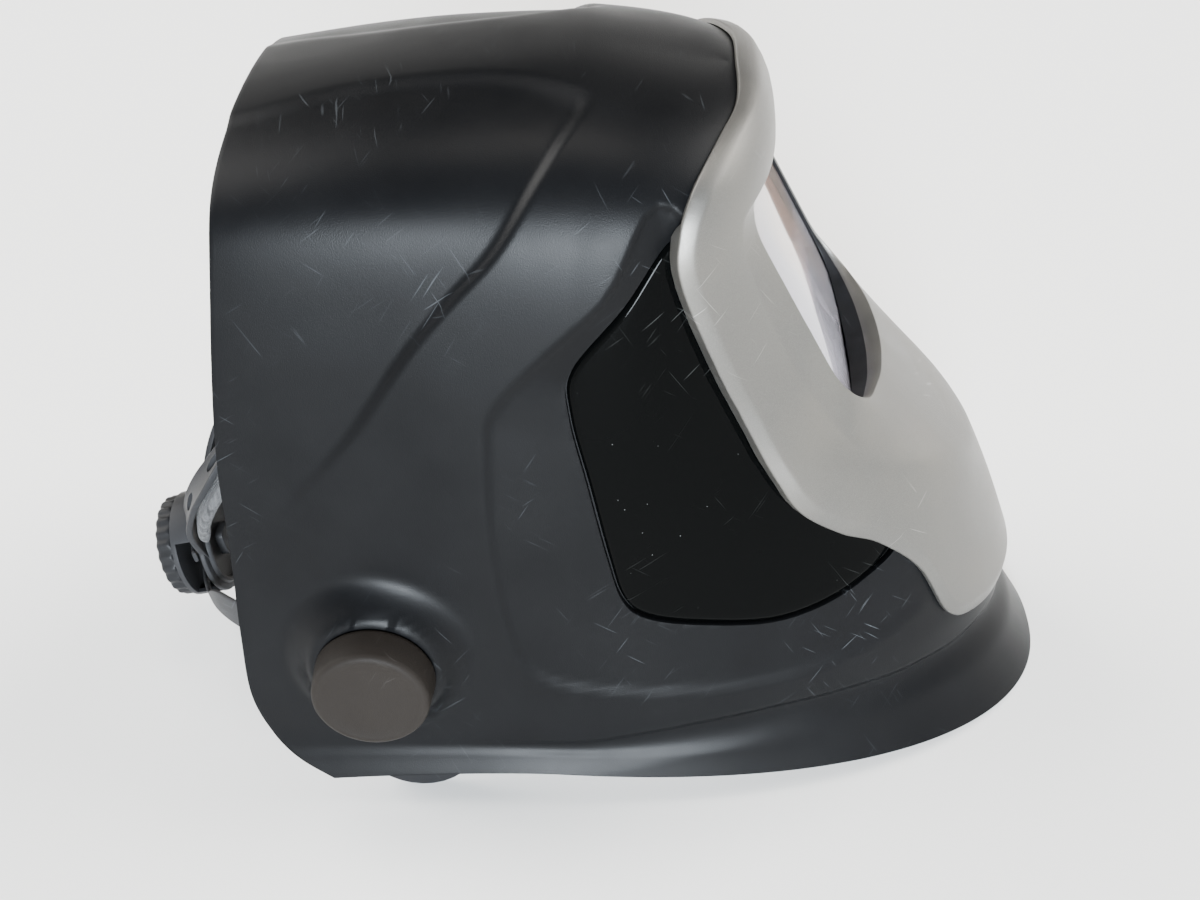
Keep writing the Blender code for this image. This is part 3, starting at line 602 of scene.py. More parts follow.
def level_values(t):
    share = np.minimum(t / (1 - ROOF_SHARE), 1.0)
    place = share * (len(LEVELS) - 1)
    i = np.minimum(place.astype(int), len(LEVELS) - 2)
    rows = [LEVELS[np.clip(i + k, 0, len(LEVELS) - 1)] for k in (-1, 0, 1, 2)]
    values = catmull(*rows, (place - i)[:, None])
    front_f, front_h, side_h, rear_f, rear_h, half_width, squareness = values.T
    turn = np.maximum(0.0, (t - (1 - ROOF_SHARE)) / ROOF_SHARE) * math.pi / 2
    rise = np.sin(turn) ** (2 / ROOF_EXPONENT)
    half_width = half_width + ROOF_LEAN * (ROOF_PEAK - side_h) * rise
    front_f = front_f + (ROOF_FRONT[0] - front_f) * (1 - np.cos(turn))
    front_h = front_h + (ROOF_FRONT[1] - front_h) * rise
    side_h = side_h + (ROOF_PEAK - side_h) * rise
    rear_f = rear_f + (ROOF_REAR[0] - rear_f) * rise
    rear_h = rear_h + (ROOF_REAR[1] - rear_h) * rise
    half_width = half_width * np.maximum(np.cos(turn), 0.0) ** (2 / ROOF_EXPONENT)
    return [v[:, None] for v in (front_f, front_h, side_h, rear_f, rear_h, half_width, squareness)]


def grid_values(rows, columns):
    """t for every row and s for every column: fine steps of about the same length on each part."""
    body, roof = rows
    turns = np.linspace(0, 1, roof + 1)[1:]
    t = np.concatenate([np.linspace(0, 1 - ROOF_SHARE, body + 1), 1 - ROOF_SHARE + ROOF_SHARE * turns])
    front, rear = columns
    half = np.concatenate([
        np.linspace(0, FRONT_SHARE, front + 1),
        FRONT_SHARE + (1 - FRONT_SHARE) * np.linspace(0, 1, rear + 1)[1:],
    ])
    return t, np.concatenate([-half[:0:-1], half])


def base_surface(rows, columns):
    """The plain outer face as arrays of points in millimetres, (x, forward, height), with outward normals."""
    t, s = grid_values(rows, columns)
    front_f, front_h, side_h, rear_f, rear_h, half_width, squareness = level_values(t)
    side = np.abs(s)[None, :]
    turn = np.minimum(side / FRONT_SHARE, 1.0) * math.pi / 2
    x_front = half_width * np.sin(turn) ** (2 / squareness)
    reach = np.maximum(np.cos(turn), 0.0) ** (2 / squareness)
    f_front = WIDEST_AT + (front_f - WIDEST_AT) * reach
    h_front = side_h + (front_h - side_h) * reach**1.2
    back = np.maximum(side - FRONT_SHARE, 0.0) / (1 - FRONT_SHARE)
    x_rear = half_width - np.minimum(0.35 * half_width, REAR_TAPER * smooth(side_h / 120) * back**2)
    f_rear = WIDEST_AT + (rear_f - WIDEST_AT) * back
    h_rear = side_h + (rear_h - side_h) * back**1.5
    is_front = side < FRONT_SHARE
    x = np.where(is_front, x_front, x_rear) * np.sign(s)[None, :]
    f = np.where(is_front, f_front, f_rear)
    h = np.where(is_front, h_front, h_rear)
    points = np.stack([x, f, h], axis=-1)
    share = (smooth((t - SHOULDER[0]) / 0.12) * smooth((1 - t) / SHOULDER[1]))[1:-1, None, None] / 2
    for _ in range(round(SHOULDER_SOFTNESS * rows[0] ** 2)):
        points[1:-1] += share * ((points[:-2] + points[2:]) / 2 - points[1:-1])
    normals = np.cross(np.gradient(points, axis=0), np.gradient(points, axis=1))
    outward = points - np.array((0.0, 0.0, 100.0))
    normals *= np.sign((normals * outward).sum(axis=-1, keepdims=True))
    normals[-1, :, 0] = 0.0
    normals /= np.maximum(np.linalg.norm(normals, axis=-1, keepdims=True), 1e-9)
    return points, normals


def sunk_panel(x, f, h):
    """How far the rear side panel lies under the ridge that runs round it."""
    round_axis = np.degrees(np.arctan2(h - RIDGE_AXIS_HEIGHT, np.abs(x))) * RIDGE_DEGREE
    drops = []
    gates = []
    for ridge in (ROOF_RIDGE, SIDE_RIDGE):
        line = spline(ridge, 8)
        distance, along, side = to_line(f, round_axis, line[:, :2] * np.array((1, RIDGE_DEGREE)))
        inside = distance * -side
        depth, width, recover = (np.interp(along, np.arange(len(line)), line[:, k]) for k in (2, 3, 4))
        gates.append(smooth(inside / (width * 1.5) + 0.2))
        drops.append(depth * smooth(inside / width + 0.3) * (1 - smooth((inside - width) / recover)))
    roof, side = drops[0] * gates[1], drops[1] * gates[0]
    return (roof**4 + side**4) ** 0.25


def flange_groove(f, h):
    """The groove under the fold where the body ends and the flange flares out."""
    fold = np.array(FOLD, float)
    height = np.interp(f, fold[:, 0], fold[:, 1])
    depth = np.interp(f, fold[:, 0], fold[:, 2])
    below = height - h
    return depth * smooth(below / 2.6 + 0.4) * (1 - smooth((below - 2.0) / 13))


def side_shape(x, f, h, glass):
    """Moves points of the side in for the window recess and out for the pivot boss."""
    outside = np.abs(x)
    fade = smooth((outside - 55) / 20)
    recess = spline(SIDE_RECESS, 6, closed=True)
    window = spline(SIDE_WINDOW, 6, closed=True)
    inside = inside_distance(f, h, recess)
    to_window = np.maximum(-inside_distance(f, h, window), 0.0)
    share = np.maximum(inside, 0.0) / (np.maximum(inside, 0.0) + to_window + 1e-6)
    depth = RECESS_STEP * smooth(inside / 2.8 + 0.25) + (glass - RECESS_STEP) * share
    outside = outside - fade * depth
    radius = np.hypot(f - PIVOT[0], h - PIVOT[1])
    climb = np.clip((BOSS_FOOT_RADIUS - radius) / (BOSS_FOOT_RADIUS - BOSS_TOP_RADIUS), 0, 1)
    seat = climb**1.7
    outside = np.where(fade > 0, outside + (BOSS_SEAT - outside) * seat * fade, outside)
    return outside * np.sign(x)


def skin_surface():
    """The detailed outer face, in millimetres."""
    points, normals = base_surface(SKIN_ROWS, SKIN_COLUMNS)
    x, f, h = points[..., 0], points[..., 1], points[..., 2]
    push = -sunk_panel(x, f, h) - flange_groove(f, h)
    moved = points + normals * push[..., None]
    moved[..., 0] = side_shape(moved[..., 0], f, h, GLASS_DEPTH - 0.3)
    moved[-1, :, 0] = 0.0
    return moved


def grid_mesh(name, points):
    """A mesh from a grid of (x, forward, height) millimetre points, zipped along its last row."""
    rows, columns = points.shape[:2]
    flat = points.reshape(-1, 3) * MM * np.array((1, -1, 1))
    first = np.arange(rows - 1)[:, None] * columns + np.arange(columns - 1)[None, :]
    faces = np.stack([first, first + 1, first + columns + 1, first + columns], axis=-1).reshape(-1, 4)
    mesh = bpy.data.meshes.new(name)
    mesh.from_pydata(flat.tolist(), [], faces.tolist())
    bm = bmesh.new()
    bm.from_mesh(mesh)
    bmesh.ops.remove_doubles(bm, verts=bm.verts, dist=1e-5)
    bmesh.ops.recalc_face_normals(bm, faces=bm.faces)
    tree = BVHTree.FromBMesh(bm)
    bm.to_mesh(mesh)
    bm.free()
    return mesh, tree


def extruded(name, outline, direction, slot="black_nylon"):
    """A closed cutter from a loop of points, extruded both ways along a direction in metres."""
    bm = bmesh.new()
    loft(bm, [[point - direction for point in outline], [point + direction for point in outline]])
    return object_from_bmesh(name, bm, slot)


def whole(half):
    """A closed loop from a half outline whose samples start and end on the middle plane."""
    mirrored = half[-2:0:-1] * np.array((-1, 1, 1))
    return np.vstack([half, mirrored])


def half_curve(points):
    """A smooth half outline that crosses the middle plane squarely at both ends."""
    points = np.array(points, float)
    flip = np.array((-1, 1, 1))
    padded = np.vstack([points[1] * flip, points, points[-2] * flip])
    found = [
        catmull(*padded[i - 1:i + 3], j / COVER_SAMPLES)
        for i in range(1, len(padded) - 2)
        for j in range(COVER_SAMPLES)
    ]
    return np.array([*found, points[-1]])


EDGE = whole(half_curve(COVER_EDGE))
CREASE = whole(half_curve(COVER_CREASE))
OPENING = whole(half_curve(COVER_OPENING))
LENS_OUT = Vector((0, -math.cos(LENS_LEAN), math.sin(LENS_LEAN)))


def make_shell():
    base_points, _ = base_surface(BASE_ROWS, BASE_COLUMNS)
    base_mesh, base_tree = grid_mesh("base", base_points)
    bpy.data.meshes.remove(base_mesh)
    mesh, skin_tree = grid_mesh("helmet_shell_skin", skin_surface())
    shell = object_of("helmet_shell_skin", mesh, "satin_black_shell")
    wall = shell.modifiers.new("wall", "SOLIDIFY")
    wall.thickness = SHELL_WALL * MM
    wall.offset = -1.0
    applied(shell)
    window = [at(*point) for point in EDGE + (CREASE - EDGE) * 0.85]
    cutters = [extruded("window_cutter", window, LENS_OUT * 0.045)]
    outline = spline(SIDE_WINDOW, 6, closed=True)
    hole = [(5.5 * math.cos(a), 5.5 * math.sin(a)) for a in np.linspace(0, 2 * math.pi, 33)[:-1]]
    for side in (-1, 1):
        loop = [at(side * 88, f, h) for f, h in outline]
        cutters.append(extruded("side_cutter", loop, Vector((0.044, 0, 0))))
        loop = [at(side * 100, PIVOT[0] + a, PIVOT[1] + b) for a, b in hole]
        cutters.append(extruded("stud_cutter", loop, Vector((0.044, 0, 0))))
    cut(shell, cutters)
    rounded_edges(shell, 0.7, 2, 55)
    settle(shell, "shell", ["helmet_shell"], 40)
    return base_tree, skin_tree


BASE_TREE, SKIN_TREE = make_shell()


def side_x(f, h, side, depth):
    """x of the plain side surface at (forward, height), moved in by a depth."""
    hit = BASE_TREE.ray_cast(at(side * 160, f, h), Vector((-side, 0, 0)))[0]
    return hit.x / MM - side * depth


def make_side_windows():
    """A curved dark pane with a bevelled edge in each side recess."""
    outline = spline(SIDE_WINDOW, 8, closed=True)
    middle = outline.mean(axis=0)
    reach = np.linalg.norm(outline - middle, axis=1, keepdims=True)
    shares = ((0.06, 0), (0.2, 0), (0.35, 0), (0.5, 0), (0.65, 0), (0.8, 0), (0.9, 0))
    rims = ((3.4, 0.0), (2.6, 0.12), (1.7, 0.5), (1.0, 1.05), (0.7, 1.5))
    for side, name in ((-1, "right"), (1, "left")):
        def ring(points, depth, side=side):
            return [at(side_x(f, h, side, depth), f, h) for f, h in points]
        rings = [ring(middle + (outline - middle) * share, GLASS_DEPTH) for share, _ in shares]
        for inset, drop in rims:
            points = middle + (outline - middle) * (1 - inset / reach)
            rings.append(ring(points, GLASS_DEPTH + drop))
        for inset in (0.7, 1.2):
            points = middle + (outline - middle) * (1 - inset / reach)
            rings.append(ring(points, GLASS_DEPTH + GLASS_WALL - (0.4 if inset < 1 else 0.0)))
        for share in (0.8, 0.5, 0.2):
            rings.append(ring(middle + (outline - middle) * share, GLASS_DEPTH + GLASS_WALL))
        bm = bmesh.new()
        loft(bm, rings)
        obj = object_from_bmesh(f"side_window_{name}_pane", bm, "dark_side_glass")
        settle(obj, "shell", [f"side_window_{name}"], 50)
        bm = bmesh.new()
        seal = []
        for inset, depth in ((-1.6, 2.6), (5.0, 2.6), (5.6, 3.1), (5.0, 3.7), (-1.6, 3.7)):
            points = middle + (outline - middle) * (1 - inset / reach)
            seal.append(ring(points, GLASS_DEPTH + depth))
        loft(bm, seal, closed_path=True)
        obj = object_from_bmesh(f"side_seal_{name}", bm, "black_nylon")
        settle(obj, "shell", (), 50)


# ---------------------------------------------------------------- front cover


def lens_frame(rise=0.0, depth=0.0, x=0.0):
    """A frame in the window: X across, Y up the slope, Z out of the window. Millimetres from its foot."""
    up = Vector((0, math.sin(LENS_LEAN), math.cos(LENS_LEAN)))
    across = up.cross(LENS_OUT)
    place = at(0, *LENS_FOOT) + (across * x + up * rise + LENS_OUT * depth) * MM
    return Matrix.Translation(place) @ Matrix((across, up, LENS_OUT)).transposed().to_4x4()


def lifted(tree, point, lift):
    """The nearest point of the shell's front to a point, lifted outwards."""
    near, normal, _, _ = tree.find_nearest(at(*point))
    outward = normal if normal.dot(near - at(0, -20, 100)) > 0 else -normal
    return near + outward * lift * MM


def make_front_cover():
    """The cover as one closed ring: edge, chamfer, band, crease, sloping wall, lip, gasket and back."""
    width = np.linalg.norm(CREASE - EDGE, axis=1, keepdims=True)

    def over(share, lift, tree=BASE_TREE):
        return [lifted(tree, point, lift) for point in EDGE + (CREASE - EDGE) * share]

    def in_window(share, grow=0.0):
        return [
            lens_frame(
                WINDOW_MIDDLE + (rise - WINDOW_MIDDLE) * (1 + grow / 48),
                0.6 + (depth - 0.6) * share,
                x * (1 + grow / 55),
            ).to_translation()
            for x, rise, depth in OPENING
        ]

    chamfer = ((0.0, 1.2), (0.0, 1.9), (0.25, 2.3), (0.7, 2.5), (2.0, 3.05), (3.4, 3.6), (4.8, 4.1),
               (5.6, 4.3), (6.6, 4.35))
    band = [over(np.minimum(distance / width, 0.4), lift) for distance, lift in chamfer]
    band += [over(share, 4.35) for share in (0.42, 0.54, 0.66, 0.78, 0.87, 0.94, 0.98, 1.0)]
    lip = in_window(1.0)
    crease = band[-1]
    wall = [
        [a.lerp(b, share) for a, b in zip(crease, lip)]
        for share in (0.05, 0.12, 0.22, 0.36, 0.5, 0.64, 0.78, 0.89, 0.95)
    ]
    top = np.array(band + wall + [lip])
    keep = 9
    for _ in range(2):
        middle = top[keep:-1]
        around = (np.roll(middle, 1, axis=1) + np.roll(middle, -1, axis=1)) / 2
        across = (top[keep - 1:-2] + top[keep + 1:]) / 2
        top[keep:-1] = middle * 0.4 + across * 0.4 + around * 0.2
    rings = [over(0.0, 0.45, SKIN_TREE)]
    rings += [[Vector(point) for point in ring] for ring in top]
    rings += [in_window(0.92, -0.5), in_window(0.7, -0.6), in_window(0.55, -0.4)]
    gasket_from = len(rings) - 1
    rings += [in_window(0.5, -0.3), in_window(0.0, -0.3), in_window(0.0, 0.3)]
    rings += [[Vector(point) - LENS_OUT * 2.2 * MM for point in ring] for ring in (top[-4], top[-8])]
    rings += [over(share, 1.3) for share in (0.95, 0.7, 0.4, 0.15)]
    bm = bmesh.new()
    made = loft(bm, rings, closed_path=True)
    obj = object_from_bmesh("front_cover_skin", bm, "silver_paint")
    obj.data.materials.append(MATS["black_nylon"])
    count = len(made[0])
    for polygon in obj.data.polygons:
        row = polygon.index // count
        polygon.material_index = 1 if row >= gasket_from else 0
    settle(obj, "shell", ["front_cover"], 42)


def make_window_surround():
    """The moulded funnel that holds the filter behind the shell's window opening."""
    outer = EDGE + (CREASE - EDGE) * 0.80
    rings = [[], [], [], []]
    for point in outer:
        start = lifted(BASE_TREE, point, -1.6)
        local = lens_frame().inverted() @ start
        x, y = local.x / MM, local.y / MM - WINDOW_MIDDLE
        scale = max(abs(x) / 56.5, abs(y) / 50.5)
        for k, depth in enumerate((-4.0, -7.0)):
            target = lens_frame(WINDOW_MIDDLE + y / scale, depth, x / scale).to_translation()
            rings[1 + k].append(target)
        rings[0].append(start)
        rings[3].append(start - LENS_OUT * 2.6 * MM)
    bm = bmesh.new()
    loft(bm, rings, closed_path=True)
    obj = object_from_bmesh("window_surround", bm, "satin_black_shell")
    # The way out of each battery drawer
    rise, depth, reach = DRAWER_PLACE
    slots = [
        slab("drawer_way", DRAWER_WAY, 1.0, lens_frame(rise, depth, side * reach), "black_nylon")
        for side in (-1, 1)
    ]
    cut(obj, slots, solver="EXACT")
    settle(obj, "shell", (), 30)


# ---------------------------------------------------------------- filter


def make_filter():
    front = -PLATE_WALL - 2 * GAP
    back = front - HOUSING_DEPTH
    plate_size = (PLATE_SIZE[0] - 3, PLATE_SIZE[1] - 2, PLATE_WALL)
    plate_place = lens_frame(WINDOW_MIDDLE, -PLATE_WALL / 2)
    plate = slab("outer_plate", plate_size, 8.0, plate_place, "clear_polycarbonate", 0.35)
    settle(plate, "shell", ["outer_protection_plate"])
    glass_place = lens_frame(GLASS_RISE, front - 3.6)
    glass = slab("filter_mirror", (*GLASS_SIZE, 5.6), 2.5, glass_place, "filter_glass", 0.4)
    settle(glass, "shell", ["filter_glass"])
    inner = slab("inner_plate", (GLASS_SIZE[0] + 8, GLASS_SIZE[1] + 8, 1.2), 3.0,
                 lens_frame(GLASS_RISE, back + 1.0), "clear_polycarbonate", 0.3)
    settle(inner, "shell", ["inner_protection_plate"])
    refined("filter_housing", "black_nylon", 0.9, 3)
    for i in (1, 2, 3):
        refined(f"arc_sensor_{i}", "sensor_window", 0.3, 2)
    for name in ("shade_button", "sensitivity_button", "delay_button"):
        refined(name, "grey_nylon", 0.5, 2)
    for side in ("right", "left"):
        refined(f"battery_holder_{side}", "black_nylon", 0.4, 2)
        refined(f"battery_cell_{side}", "cell_steel", 0.35, 2)
    bezel = slab("control_panel", (74, 13, 0.6), 3.0, lens_frame(2, back - 0.32), "grey_nylon", 0.25)
    holes = []
    for x in (-24, 0, 24):
        ring = [(6.0, -3.0), (6.0, 3.0)]
        holes.append(turned("panel_hole", ring, lens_frame(2, back, x), "grey_nylon", 32))
    cut(bezel, holes)
    settle(bezel, "shell")
    for x in (-12, 12):
        name = f"panel_lamp_{'right' if x < 0 else 'left'}"
        place = lens_frame(2, back - 0.62, x) @ Matrix.Rotation(math.pi, 4, "X")
        profile = ((0.9, -0.2), (0.9, 0.35), (0.6, 0.6), (0.2, 0.7))
        lamp = turned(name, profile, place, "sensor_window", 20)
        settle(lamp, "shell")


# ---------------------------------------------------------------- pivots


def side_frame(x, side):
    """A frame on the tilt pivot whose Z points outwards."""
    turn = Matrix.Rotation(side * math.pi / 2, 4, "Y")
    return Matrix.Translation(at(x, *PIVOT)) @ turn


def make_pivots():
    base = BOSS_SEAT + GAP
    r = KNOB_RADIUS
    profile = (
        (4.6, 8.0), (4.6, 0.0), (r - 1.2, 0.0), (r - 0.4, 0.2), (r, 0.9), (r, 1.8), (r - 0.25, 6.0),
        (r - 0.6, KNOB_DEPTH - 2.4), (r - 0.9, KNOB_DEPTH - 1.3), (r - 1.5, KNOB_DEPTH - 0.5),
        (r - 2.4, KNOB_DEPTH - 0.08), (r - 3.2, KNOB_DEPTH), (r - 4.2, KNOB_DEPTH - 0.15),
        (r - 5.0, KNOB_DEPTH - 0.4), (r - 9.0, KNOB_DEPTH - 0.45), (3.0, KNOB_DEPTH - 0.45),
    )
    for side, name in ((-1, "right"), (1, "left")):
        knob = turned(f"pivot_knob_{name}_fine", profile, side_frame(side * base, side), "knob_black", 96)
        settle(knob, f"knob_{name}", [f"pivot_knob_{name}"], 45)
        refined(f"side_arm_{name}", "black_nylon", 0.9, 3)
        refined(f"pivot_stud_{name}", "steel", 0.4, 2)
        refined(f"friction_washer_{name}", "grey_nylon", 0.3, 2)
        refined(f"distance_slider_{name}", "black_nylon", 0.7, 2)


# ---------------------------------------------------------------- harness


def harness(x, forward, height):
    """A point of the harness, measured from the tilt pivot, in metres."""
    return at(x, PIVOT[0] + forward, PIVOT[1] + height)


def band_station(turn, inset, width, lift=0.0):
    """A station on the head band's ring. turn is 0 at the forehead and grows towards the wearer's left."""
    half_width, half_length = BAND_HALF_WIDTH - inset, BAND_HALF_LENGTH - inset
    along = half_length * math.cos(turn)
    forward = BAND_MIDDLE[0] + along * math.cos(BAND_SLOPE) - lift * math.sin(BAND_SLOPE)
    height = BAND_MIDDLE[1] + along * math.sin(BAND_SLOPE) + lift * math.cos(BAND_SLOPE)
    out_x, out_along = math.sin(turn) * half_length, math.cos(turn) * half_width
    outward = Vector((out_x, -out_along * math.cos(BAND_SLOPE), out_along * math.sin(BAND_SLOPE)))
    return harness(half_width * math.sin(turn), forward, height), outward.normalized(), width


def dial_frame(out, lift=0.0, x=0.0):
    """A frame at the back of the ring: X across, Y up, Z away from the head."""
    up = Vector((0, math.sin(BAND_SLOPE), math.cos(BAND_SLOPE)))
    away = Vector((0, math.cos(BAND_SLOPE), -math.sin(BAND_SLOPE)))
    across = up.cross(away)
    centre = band_station(math.pi, 0.0, 0.0)[0]
    place = centre + (across * x + up * lift + away * out) * MM
    return Matrix.Translation(place) @ Matrix((across, up, away)).transposed().to_4x4()


def strap(name, stations, wall, slot, bead=0.0, tip=0.0):
    """A moulded strap with round edges, thicker along them by bead, and round ends where tip is set."""
    bm = bmesh.new()
    rings = []
    count = len(stations)
    lengths = [0.0]
    for (a, _, _), (b, _, _) in zip(stations, stations[1:]):
        lengths.append(lengths[-1] + (b - a).length / MM)
    for i, (point, outward, width) in enumerate(stations):
        ahead = stations[min(i + 1, count - 1)][0] - stations[max(i - 1, 0)][0]
        across = ahead.cross(outward).normalized()
        out = across.cross(ahead).normalized()
        if out.dot(outward) < 0:
            out = -out
        half = width / 2
        near_end = min(lengths[i], lengths[-1] - lengths[i])
        if tip and near_end < tip:
            half = max(half * math.sqrt(max(0.0, 1 - (1 - near_end / tip) ** 2)), 0.6)
        ring = []
        edge = min(wall * 0.45, half * 0.4)
        profile = (
            (half - 2.2 * edge, wall / 2), (half - edge, wall / 2 + bead),
            (half - edge * 0.3, wall / 2 * 0.8 + bead), (half, 0.0), (half - edge * 0.3, -wall / 2 * 0.8),
            (half - edge, -wall / 2), (half - 2.2 * edge, -wall / 2),
        )
        both = [*profile, *[(-a, b) for a, b in reversed(profile)]]
        for a, b in both:
            ring.append(point + (across * a + out * b) * MM)
        rings.append(ring)
    loft(bm, rings)
    return object_from_bmesh(name, bm, slot)


def puffed(obj, voxel, pressure, cap):
    """Swells a closed block into a padded form by cloth simulation, and limits how far any point moves."""
    remesh = obj.modifiers.new("remesh", "REMESH")
    remesh.mode = "VOXEL"
    remesh.voxel_size = voxel * MM
    applied(obj)
    mesh = obj.data
    rest = np.empty(len(mesh.vertices) * 3, np.float32)
    mesh.vertices.foreach_get("co", rest)
    scene = bpy.context.scene
    cloth = obj.modifiers.new("cloth", "CLOTH")
    cloth.settings.use_pressure = True
    cloth.settings.uniform_pressure_force = pressure
    cloth.settings.effector_weights.gravity = 0.0
    cloth.settings.quality = 4
    cloth.point_cache.frame_end = 16
    for number in range(1, 15):
        scene.frame_set(number)
    applied(obj)
    scene.frame_set(1)
    moved = np.empty_like(rest)
    obj.data.vertices.foreach_get("co", moved)
    step = (moved - rest).reshape(-1, 3)
    length = np.linalg.norm(step, axis=1, keepdims=True)
    step *= np.minimum(1.0, cap * MM / np.maximum(length, 1e-9))
    obj.data.vertices.foreach_set("co", (rest.reshape(-1, 3) + step).astype(np.float32).ravel())
    subdivide = obj.modifiers.new("smooth", "SUBSURF")
    subdivide.levels = subdivide.render_levels = 1
    return applied(obj)


def make_band():
    steps = 120
    stations = []
    for i in range(steps + 1):
        turn = TAIL_TURN * (2 * i / steps - 1)
        width = 16 + 10 * float(smooth(1 - abs(turn) / 1.3))
        stations.append(band_station(turn, 0.0, width, (width - 16) / 2))
    band = strap("head_band_fine", stations, 1.9, "grey_nylon", 0.35)
    holes = []
    for degrees in (-92, -84, -76, -68, 68, 76, 84, 92):
        point, outward, _ = band_station(math.radians(degrees), 0.0, 0.0)
        place = Matrix.Translation(point) @ outward.to_track_quat("Z", "Y").to_matrix().to_4x4()
        holes.append(turned("band_hole", ((1.6, -6.0), (1.6, 6.0)), place, "grey_nylon", 20))
    cut(band, holes)
    settle(band, "head_band", ["head_band"])
    make_sweatband()
    make_crown()


def cushion_outline(flat):
    """The corners of a pad's section, from -1 to 1 across and through, with a flat of the given share."""
    return (1, 0.35), (flat, 1), (-flat, 1), (-1, 0.35), (-1, -0.35), (-flat, -1), (flat, -1), (1, -0.35)


def make_sweatband():
    """A padded sweatband folded over the front of the band."""
    bm = bmesh.new()
    rings = []
    for i in range(48):
        point, outward, width = band_station(math.radians(-46 + 92 * i / 47), 4.6, 30, 4.0)
        ahead = band_station(math.radians(-46 + 92 * i / 47 + 0.5), 4.6, 30, 4.0)[0] - point
        across = ahead.cross(outward).normalized()
        out = across.cross(ahead).normalized()
        rings.append([
            point + (across * (width / 2 * a) + out * (1.9 * b)) * MM
            for a, b in cushion_outline(0.93)
        ])
    loft(bm, rings)
    pad = object_from_bmesh("front_sweatband_pad", bm, "pad_fabric")
    puffed(pad, 1.6, 4.0, 0.6)
    settle(pad, "head_band", ["front_sweatband"], 60)


def make_crown():
    """Two crown straps with peg holes, and the pin that holds each one's overlap."""
    for name, turn, top in zip(("front", "rear"), CROWN_TURNS, CROWN_TOPS):
        foot = band_station(turn, 5.0, 0.0)[0] - harness(0, 0, 0)
        arch = []
        for i in range(97):
            swing = math.pi * (i / 96 - 0.5)
            rise = math.cos(swing)
            forward = -foot.y / MM + (top[0] + foot.y / MM) * rise
            height = foot.z / MM + (top[1] - foot.z / MM) * rise
            point = harness(foot.x / MM * math.sin(swing), forward, height)
            arch.append((point, (point - harness(0, 6, 0)).normalized(), 14.0))
        crown = strap(f"crown_strap_{name}_fine", arch, 1.5, "grey_nylon", 0.25)
        holes = []
        for i in (26, 30, 34, 38, 42, 54, 58, 62, 66, 70):
            point, outward, _ = arch[i]
            place = Matrix.Translation(point) @ outward.to_track_quat("Z", "Y").to_matrix().to_4x4()
            holes.append(turned("crown_hole", ((2.1, -4.0), (2.1, 4.0)), place, "grey_nylon", 20))
        cut(crown, holes)
        settle(crown, "head_band", [f"crown_strap_{name}"])
        refined(f"crown_pin_{name}", "black_nylon", 0.8, 3)


def make_rear():
    """Tails with toothed racks, the dial, and the nape cradle with its pad."""
    for side, name in ((-1, "right"), (1, "left")):
        stations = []
        for i in range(260):
            degrees = math.degrees(TAIL_TURN) + 0.8 + 93.6 * i / 259
            narrow = float(smooth((degrees - 140) / 20))
            tooth = 0.35 * narrow * (1 if i % 4 < 2 else -1)
            width = 16 - 11 * narrow + tooth
            stations.append(band_station(side * math.radians(degrees), 0.0, width, side * RACK_LIFT * narrow))
        tail = strap(f"band_tail_{name}_fine", stations, 1.5, "grey_nylon")
        settle(tail, f"tail_{name}", [f"band_tail_{name}"])
    make_cradle()
    make_dial()


def make_cradle():
    base = turned("nape_cradle_base", (
        (5.0, -7.6), (15.6, -7.7), (16.2, -8.0), (16.5, -9.2), (17.0, -9.7), (18.2, -9.7), (18.7, -9.2),
        (19.0, -8.1), (20.6, -7.9), (21.6, -7.6), (22.0, -6.9), (22.0, -6.2), (21.6, -5.7), (5.0, -5.7),
    ), dial_frame(0.0), "grey_nylon", 80)
    settle(base, "nape_cradle")
    boss = slab("nape_cradle_boss", (11.0, 11.0, 3.6), 2.0, dial_frame(-8.9), "grey_nylon", 0.5)
    settle(boss, "nape_cradle")
    half = [harness(*point) for point in CRADLE_ARCH]
    arch = half + [Vector((-p.x, p.y, p.z)) for p in reversed(half[:-1])]
    path = spline([tuple(p) for p in arch], 8)
    middle = harness(0, 6, 5)
    stations = [(Vector(p), (Vector(p) - middle).normalized(), 13.0) for p in path]
    legs = strap("nape_cradle_arch", stations, 2.1, "grey_nylon", 0.5)
    holes = []
    for i in (22, 34, len(path) - 35, len(path) - 23):
        point, outward, _ = stations[i]
        ahead = (stations[i + 1][0] - stations[i - 1][0]).normalized()
        across = ahead.cross(outward).normalized()
        out = across.cross(ahead).normalized()
        turn = Matrix((ahead, across, ahead.cross(across))).transposed().to_4x4()
        place = Matrix.Translation(point) @ turn
        outline = [place @ (Vector((5.2 * math.cos(a), 2.7 * math.sin(a), 0)) * MM)
                   for a in np.linspace(0, 2 * math.pi, 29)[:-1]]
        holes.append(extruded("leg_hole", outline, out * 0.005))
    cut(legs, holes)
    settle(legs, "nape_cradle", ["nape_cradle"])
    bm = bmesh.new()
    rings = []
    for i in range(10, len(path) - 10):
        point, outward, _ = stations[i]
        ahead = stations[i + 1][0] - stations[i - 1][0]
        across = ahead.cross(outward).normalized()
        out = across.cross(ahead).normalized()
        if out.dot(outward) < 0:
            out = -out
        rings.append([
            point + (across * (9.0 * a) + out * (2.6 * b - 5.6)) * MM
            for a, b in cushion_outline(0.85)
        ])
    loft(bm, rings)
    pad = object_from_bmesh("nape_pad_soft", bm, "pad_fabric")
    puffed(pad, 1.8, 4.0, 0.9)
    settle(pad, "nape_cradle", ["nape_pad"], 60)


